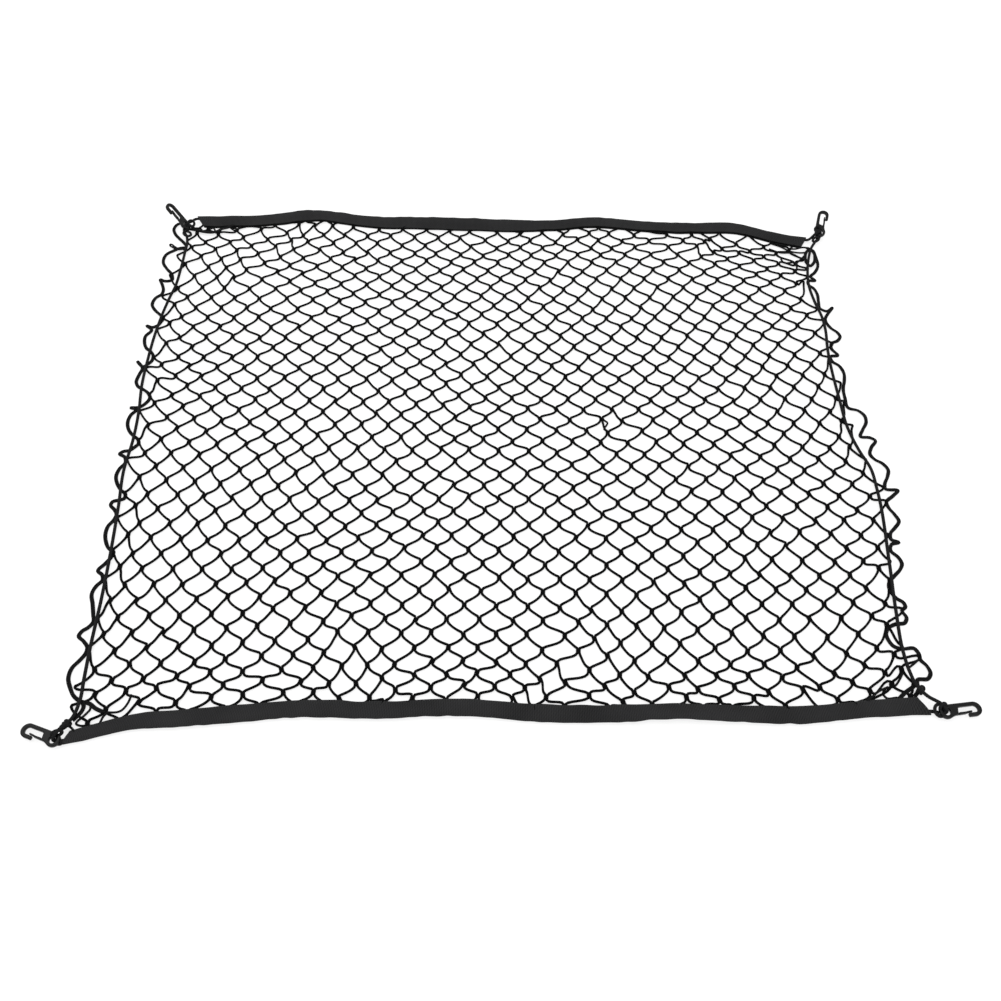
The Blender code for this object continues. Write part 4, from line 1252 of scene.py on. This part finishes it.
# ---------------------------------------------------------------- the hooks
@dataclass
class SnapHook:
    """A moulded hook with an eye, a rod, a round bow and a thin gate that closes its throat."""

    place: HookPlace
    eye_radius: float = 0.0076
    eye_hole: float = 0.0040
    bow: tuple[float, float] = (0.0305, -0.0005)
    bow_radius: float = 0.0078
    bow_hole: float = 0.0037
    thick: float = 0.0046
    round_over: float = 0.0011
    nose_end: float = 0.0226
    shoulder: float = 0.0118
    throat_floor: float = 0.0138
    gap: float = 0.0003
    knuckle: float = 0.00125
    gate_b: float = -0.0036
    gate_halves: tuple[float, float] = (0.0012, 0.0008)
    gate_thick: float = 0.0040
    gate_round_over: float = 0.0005

    def axes(self) -> Array:
        """Rows are the directions of the hook's length, width and thickness."""
        heading, lean, turn = np.radians([self.place.heading, self.place.lean, self.place.turn])
        along = np.array([math.cos(heading) * math.cos(lean), math.sin(heading) * math.cos(lean),
                          math.sin(lean)])
        level = np.array([-math.sin(heading), math.cos(heading), 0.0])
        across = level * math.cos(turn) + np.cross(along, level) * math.sin(turn)
        return np.array([along, across, np.cross(along, across)])

    def into_place(self, local: Array) -> Array:
        """World places of points of the hook's own frame."""
        return np.array(self.place.eye) + local @ self.axes() - MIDDLE

    @staticmethod
    def arc(centre: tuple[float, float], radius: float, start: float, end: float,
            steps: int) -> Array:
        """Points of an arc from start to end degrees, both ends included."""
        return bend(*centre, radius, np.linspace(start, end, steps + 1))

    def body_outline(self, shrink: float) -> Array:
        """Outline of the body in its plane, drawn in by shrink all round."""
        _, b = self.bow
        bow = self.bow_radius - shrink
        bay = self.bow_hole + shrink
        shoulder = self.shoulder - shrink
        nose = self.nose_end + shrink
        gate = self.gate_b
        parts = [
            self.arc((0.0, 0.0), self.eye_radius - shrink, 90, 285, 28),
            [(0.0060, gate - 0.0021 + shrink), (0.0088, gate - 0.0014 + shrink)],
            [(shoulder, gate - 0.0013 + shrink), (shoulder, gate + 0.0014)],
            [(self.throat_floor - 0.0006 - shrink, b + bay - 0.0010 + 0.4 * shrink)],
            [(self.throat_floor + 0.0008 - shrink, b + bay)],
            self.arc(self.bow, bay, 90, -90, 20),
            [(nose + 0.0008, b - bay), (nose, b - bay - 0.0008)],
            [(nose, b - bow + 0.0008), (nose + 0.0008, b - bow)],
            self.arc(self.bow, bow, -90, 90, 28),
        ]
        return np.concatenate([np.asarray(part, float) for part in parts])

    def eye_outline(self, shrink: float) -> Array:
        """The eye's hole, opened out by shrink."""
        return self.arc((0.0, 0.0), self.eye_hole + shrink, 0, 348.75, 31)

    def gate_outline(self, shrink: float) -> Array:
        """Outline of the gate in the hook's plane, drawn in by shrink all round."""
        root = (self.shoulder + self.gap + self.knuckle, self.gate_b)
        knuckle = self.arc(root, self.knuckle - shrink, 75, 285, 10)
        path = np.array([(0.0152, -0.0036), (0.0195, -0.0036), (0.0219, -0.0032),
                         (0.0236, -0.0029), (0.0268, -0.0028)])
        ahead = unit(np.gradient(path, axis=0))
        half = np.linspace(*self.gate_halves, len(path))[:, None] - shrink
        side = np.stack([-ahead[:, 1], ahead[:, 0]], 1) * half
        path[-1] -= ahead[-1] * shrink
        return np.concatenate([knuckle, path - side, (path + side)[::-1]])

    def moulding(self, name: str, outlines: list[Outline], thick: float, round_over: float,
                 material: bpy.types.Material) -> bpy.types.Object:
        """A flat moulding with rounded rims.

        Each rim is a grid of outlines. The outline is drawn in by the round-over times one less
        the cosine of the way over, and lies at half the thickness less the round-over times one
        less its sine. The two flat faces close it.

        Args:
            name: the object's name.
            outlines: functions that give an outline drawn in by a distance.
            thick: thickness from face to face.
            round_over: radius of the rounded rims.
            material: the one material.

        Returns:
            The new object.
        """
        over = np.radians(np.linspace(90, 0, 5))
        shrink = round_over * (1 - np.cos(over))
        height = 0.5 * thick - round_over * (1 - np.sin(over))
        lower = list(zip(-height, shrink))
        levels = lower + [(-h, s) for h, s in lower[::-1]]
        maker = MeshMaker()
        rims = []
        for outline in outlines:
            across = len(outline(0.0))
            grid = np.array([np.column_stack([outline(s), np.full(across, h)]) for h, s in levels])
            first = maker.count
            maker.add_grids(self.into_place(grid)[None], np.arange(len(levels))[None] * 0.1,
                            np.linspace(0, 1, across + 1), True, False)
            rims.append((first, across, first + (len(levels) - 1) * across))
        item = maker.finish(name, material, HOOK_ANGLE)
        self.close_faces(item, rims)
        return item

    @staticmethod
    def close_faces(item: bpy.types.Object, rims: list[tuple[int, int, int]]) -> None:
        """Fill the two flat faces between the rims and turn every face outwards."""
        mesh = bmesh.new()
        mesh.from_mesh(item.data)
        mesh.verts.ensure_lookup_table()
        for level in (0, 2):
            edges = []
            for rim in rims:
                ring = [mesh.verts[rim[level] + k] for k in range(rim[1])]
                edges += [mesh.edges.get((a, b)) for a, b in zip(ring, ring[1:] + ring[:1])]
            bmesh.ops.triangle_fill(mesh, use_beauty=True, edges=edges)
        bmesh.ops.recalc_face_normals(mesh, faces=mesh.faces)
        for face in mesh.faces:
            face.smooth = True
        mesh.to_mesh(item.data)
        mesh.free()
        item.data.set_sharp_from_angle(angle=math.radians(HOOK_ANGLE))

    def build(self, material: bpy.types.Material) -> list[bpy.types.Object]:
        """Make the body and the gate."""
        corner = self.place.corner
        body = self.moulding("snap_hook_" + corner, [self.body_outline, self.eye_outline],
                             self.thick, self.round_over, material)
        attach(body, BODY)
        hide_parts("hook_" + corner)
        gate = self.moulding("snap_gate_" + corner, [self.gate_outline],
                             self.gate_thick, self.gate_round_over, material)
        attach(gate, "gate_body_" + corner)
        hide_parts("gate_" + corner)
        return [body, gate]


# ---------------------------------------------------------------- the shock cords
@dataclass
class ShockCord:
    """One braided shock cord: out of the far tape, through both eyes and into the near tape."""

    side: Side
    far: TapedEdge
    near: TapedEdge
    run: tuple[tuple[float, float, float], ...]
    radius: float = 0.0019
    ring_radius: float = 0.0018
    on_net: float = 0.0046
    eye_radius: float = 0.0076
    eye_hole: float = 0.0040
    in_eye: tuple[float, float] = (0.0017, 0.0033)
    over_rim: float = 0.0049
    past_rim: tuple[float, float] = (0.0086, 0.0046)
    clear: float = 0.0003
    off_fold: float = 0.0012
    aim_inward: float = 0.038
    in_tunnel: float = 0.008
    tunnel_shares: tuple[float, ...] = (-0.2, 0.0, 0.5, 1.0)
    step: float = 0.0014
    sides: int = 14

    def hook(self, end: str) -> SnapHook:
        """The hook at one end."""
        name = end + "_" + self.side.value
        return SnapHook(next(place for place in HOOK_PLACES if place.corner == name))

    def through_eye(self, end: str) -> Array:
        """Points of the cord through an eye, from outside below it to outside above it."""
        hook = self.hook(end)
        way = EYE_PASSES[hook.place.corner]
        along, _, through = hook.axes()
        through = through * (1.0 if through[2] > 0 else -1.0)
        leftward = np.cross(through, along)
        rim = 0.5 * (self.eye_radius + self.eye_hole)
        steps = (self.in_eye, (rim, self.over_rim), self.past_rim)
        eye = np.array(hook.place.eye)
        legs = []
        for heading, side in ((way.below, -1), (way.above, 1)):
            angle = math.radians(heading - hook.place.heading)
            outward = along * math.cos(angle) + leftward * math.sin(angle)
            leg = np.array([eye + outward * distance + through * side * height
                            for distance, height in steps])
            leg[:, 2] = np.maximum(leg[:, 2], self.radius + self.clear)
            legs.append(leg)
        return np.concatenate([legs[0][::-1], eye[None], legs[1]])

    def tunnel(self, tape: TapedEdge) -> Array:
        """The last stretch inside a tape: just outside its end, in the end and further in."""
        depth = tape.width - self.off_fold - 0.5 * tape.tunnel - self.clear
        height = tape.skin + 0.5 * tape.tunnel
        end = 0 if self.side is Side.LEFT else 1
        inward = 1.0 if end == 0 else -1.0
        slant = (tape.outer_ends[end] - tape.inner_ends[end]) * depth / tape.width
        ends = tape.inner_ends[end] + np.array([0.0, inward * self.aim_inward])
        pair = tape.place(ends, np.full(2, depth), np.full(2, height))
        mouth = pair[0] + np.array([slant, 0.0, 0.0])
        way = unit(pair[1] - mouth)
        return np.array([mouth + way * self.in_tunnel * share for share in self.tunnel_shares])

    def route(self) -> Array:
        """The whole route, far end first."""
        run = np.array(self.run)
        run[:, 2] += self.on_net
        return np.concatenate([self.tunnel(self.far)[::-1], self.through_eye("far")[::-1], run,
                               self.through_eye("near")[::-1], self.tunnel(self.near)])

    def add_rings(self, maker: MeshMaker) -> None:
        """Add the turns of cord at this side's eyes and knots: ellipses, each in its own plane."""
        turn = np.linspace(0.0, 2 * np.pi, 33)
        for ring in CORD_RINGS[self.side]:
            heading, tilt = math.radians(ring.heading), math.radians(ring.tilt)
            first = np.array([math.cos(heading), math.sin(heading), 0.0])
            second = np.array([-math.sin(heading) * math.cos(tilt),
                               math.cos(heading) * math.cos(tilt), math.sin(tilt)])
            path = (np.array(ring.middle) + np.cos(turn)[:, None] * first * ring.halves[0]
                    + np.sin(turn)[:, None] * second * ring.halves[1]) * MM
            path[:, 2] = np.maximum(path[:, 2], self.ring_radius)
            level = np.broadcast_to(np.cross(first, second), path.shape)
            run = unit(np.roll(path, -1, 0) - np.roll(path, 1, 0))
            run[[0, -1]] = unit(path[1] - path[-2])
            side = unit(np.cross(run, level))
            add_tubes(maker, (path - MIDDLE)[None], self.ring_radius, self.sides,
                      (side[None], np.cross(side, run)[None]))

    def build(self) -> bpy.types.Object:
        """A round tube on the route."""
        path = along_path(self.route(), self.step)
        path[:, 2] = np.maximum(path[:, 2], self.radius)
        side, up = steady_frames(path)
        maker = MeshMaker()
        add_tubes(maker, (path - MIDDLE)[None], self.radius, self.sides, (side[None], up[None]))
        self.add_rings(maker)
        item = maker.finish("shock_cord_" + self.side.value, SHOCK_FINISH.build(), CORD_ANGLE)
        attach(item, BODY)
        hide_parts("elastic_" + self.side.value)
        return item


# ---------------------------------------------------------------- the stage
class SoftLight(NamedTuple):
    """A square light that looks at the middle of the net: place, width and power in watts."""

    name: str
    place: tuple[float, float, float]
    size: float
    power: float


LIGHTS = rows_of(
    SoftLight,
    ("top", (-0.6, 0.5, 2.2), 2.4, 22.0),
    ("front", (0.7, -1.4, 1.6), 1.2, 8.0),
)


@dataclass
class Stage:
    """Floor, light and camera."""

    eye: tuple[float, float, float] = (0.0, -0.783, 0.9816)
    look_down: float = 55.0
    focal_px: float = 1000.0
    image_px: float = 1001.0
    sensor_mm: float = 36.0
    floor_half: float = 6.0
    floor_drop: float = 0.0002

    def floor(self) -> None:
        """A pale plane under the net."""
        h = self.floor_half
        data = bpy.data.meshes.new("floor")
        data.from_pydata([(-h, -h, 0), (h, -h, 0), (h, h, 0), (-h, h, 0)], [], [(0, 1, 2, 3)])
        data.materials.append(FLOOR_FINISH.build())
        item = new_object("floor", data)
        item.location.z = -self.floor_drop

    def lights(self) -> None:
        """Two soft lights, one overhead and one in front, and an even white surround."""
        world = bpy.data.worlds.new("surround")
        bpy.context.scene.world = world
        world.use_nodes = True
        backdrop = world.node_tree.nodes["Background"]
        backdrop.inputs["Color"].default_value = (1.0, 1.0, 1.0, 1.0)
        backdrop.inputs["Strength"].default_value = 1.0
        for light in LIGHTS:
            data = bpy.data.lights.new(light.name, "AREA")
            data.size = light.size
            data.energy = light.power
            item = new_object(light.name, data)
            item.location = light.place
            x, y, z = light.place
            item.rotation_euler = (math.atan2(math.hypot(x, y), z), 0.0,
                                   math.atan2(-x, y) + math.pi)

    def camera(self) -> None:
        """The camera at the photograph's place and angle."""
        data = bpy.data.cameras.new("camera")
        data.sensor_width = self.sensor_mm
        data.lens = self.sensor_mm * self.focal_px / self.image_px
        item = new_object("camera", data)
        item.location = np.array(self.eye) - MIDDLE
        item.rotation_euler = (math.radians(90.0 - self.look_down), 0.0, 0.0)
        bpy.context.scene.camera = item

    def build(self) -> None:
        """Make all three."""
        self.camera()
        self.floor()
        self.lights()
        bpy.context.scene.view_settings.view_transform = "Standard"


def main() -> None:
    """Build every part in order and report each piece."""
    logging.basicConfig(level=logging.INFO, format="%(message)s")
    Stage().build()
    far = TapedEdge("tape_far", "binding_far", 1, (-0.438, 0.436), (-0.450, 0.447),
                    FAR_STATIONS, seed=3)
    near = TapedEdge("tape_near", "binding_near", -1, (-0.4425, 0.437), (-0.447, 0.447),
                     NEAR_STATIONS, drawn_in=(0.27, 0.0), seed=4)
    made = [far.build(), near.build()]
    made += DiamondMesh(far, near).build()
    made += [SideRope(side, points).build() for side, points in ROPES.items()]
    made.append(StrayStrands().build())
    made += [ShockCord(side, far, near, run).build() for side, run in CORD_RUNS.items()]
    plastic = PLASTIC_FINISH.build()
    for place in HOOK_PLACES:
        made += SnapHook(place).build(plastic)
    for item in made:
        LOG.info("%s: %d faces", item.name, len(item.data.polygons))


if __name__ == "__main__":
    main()
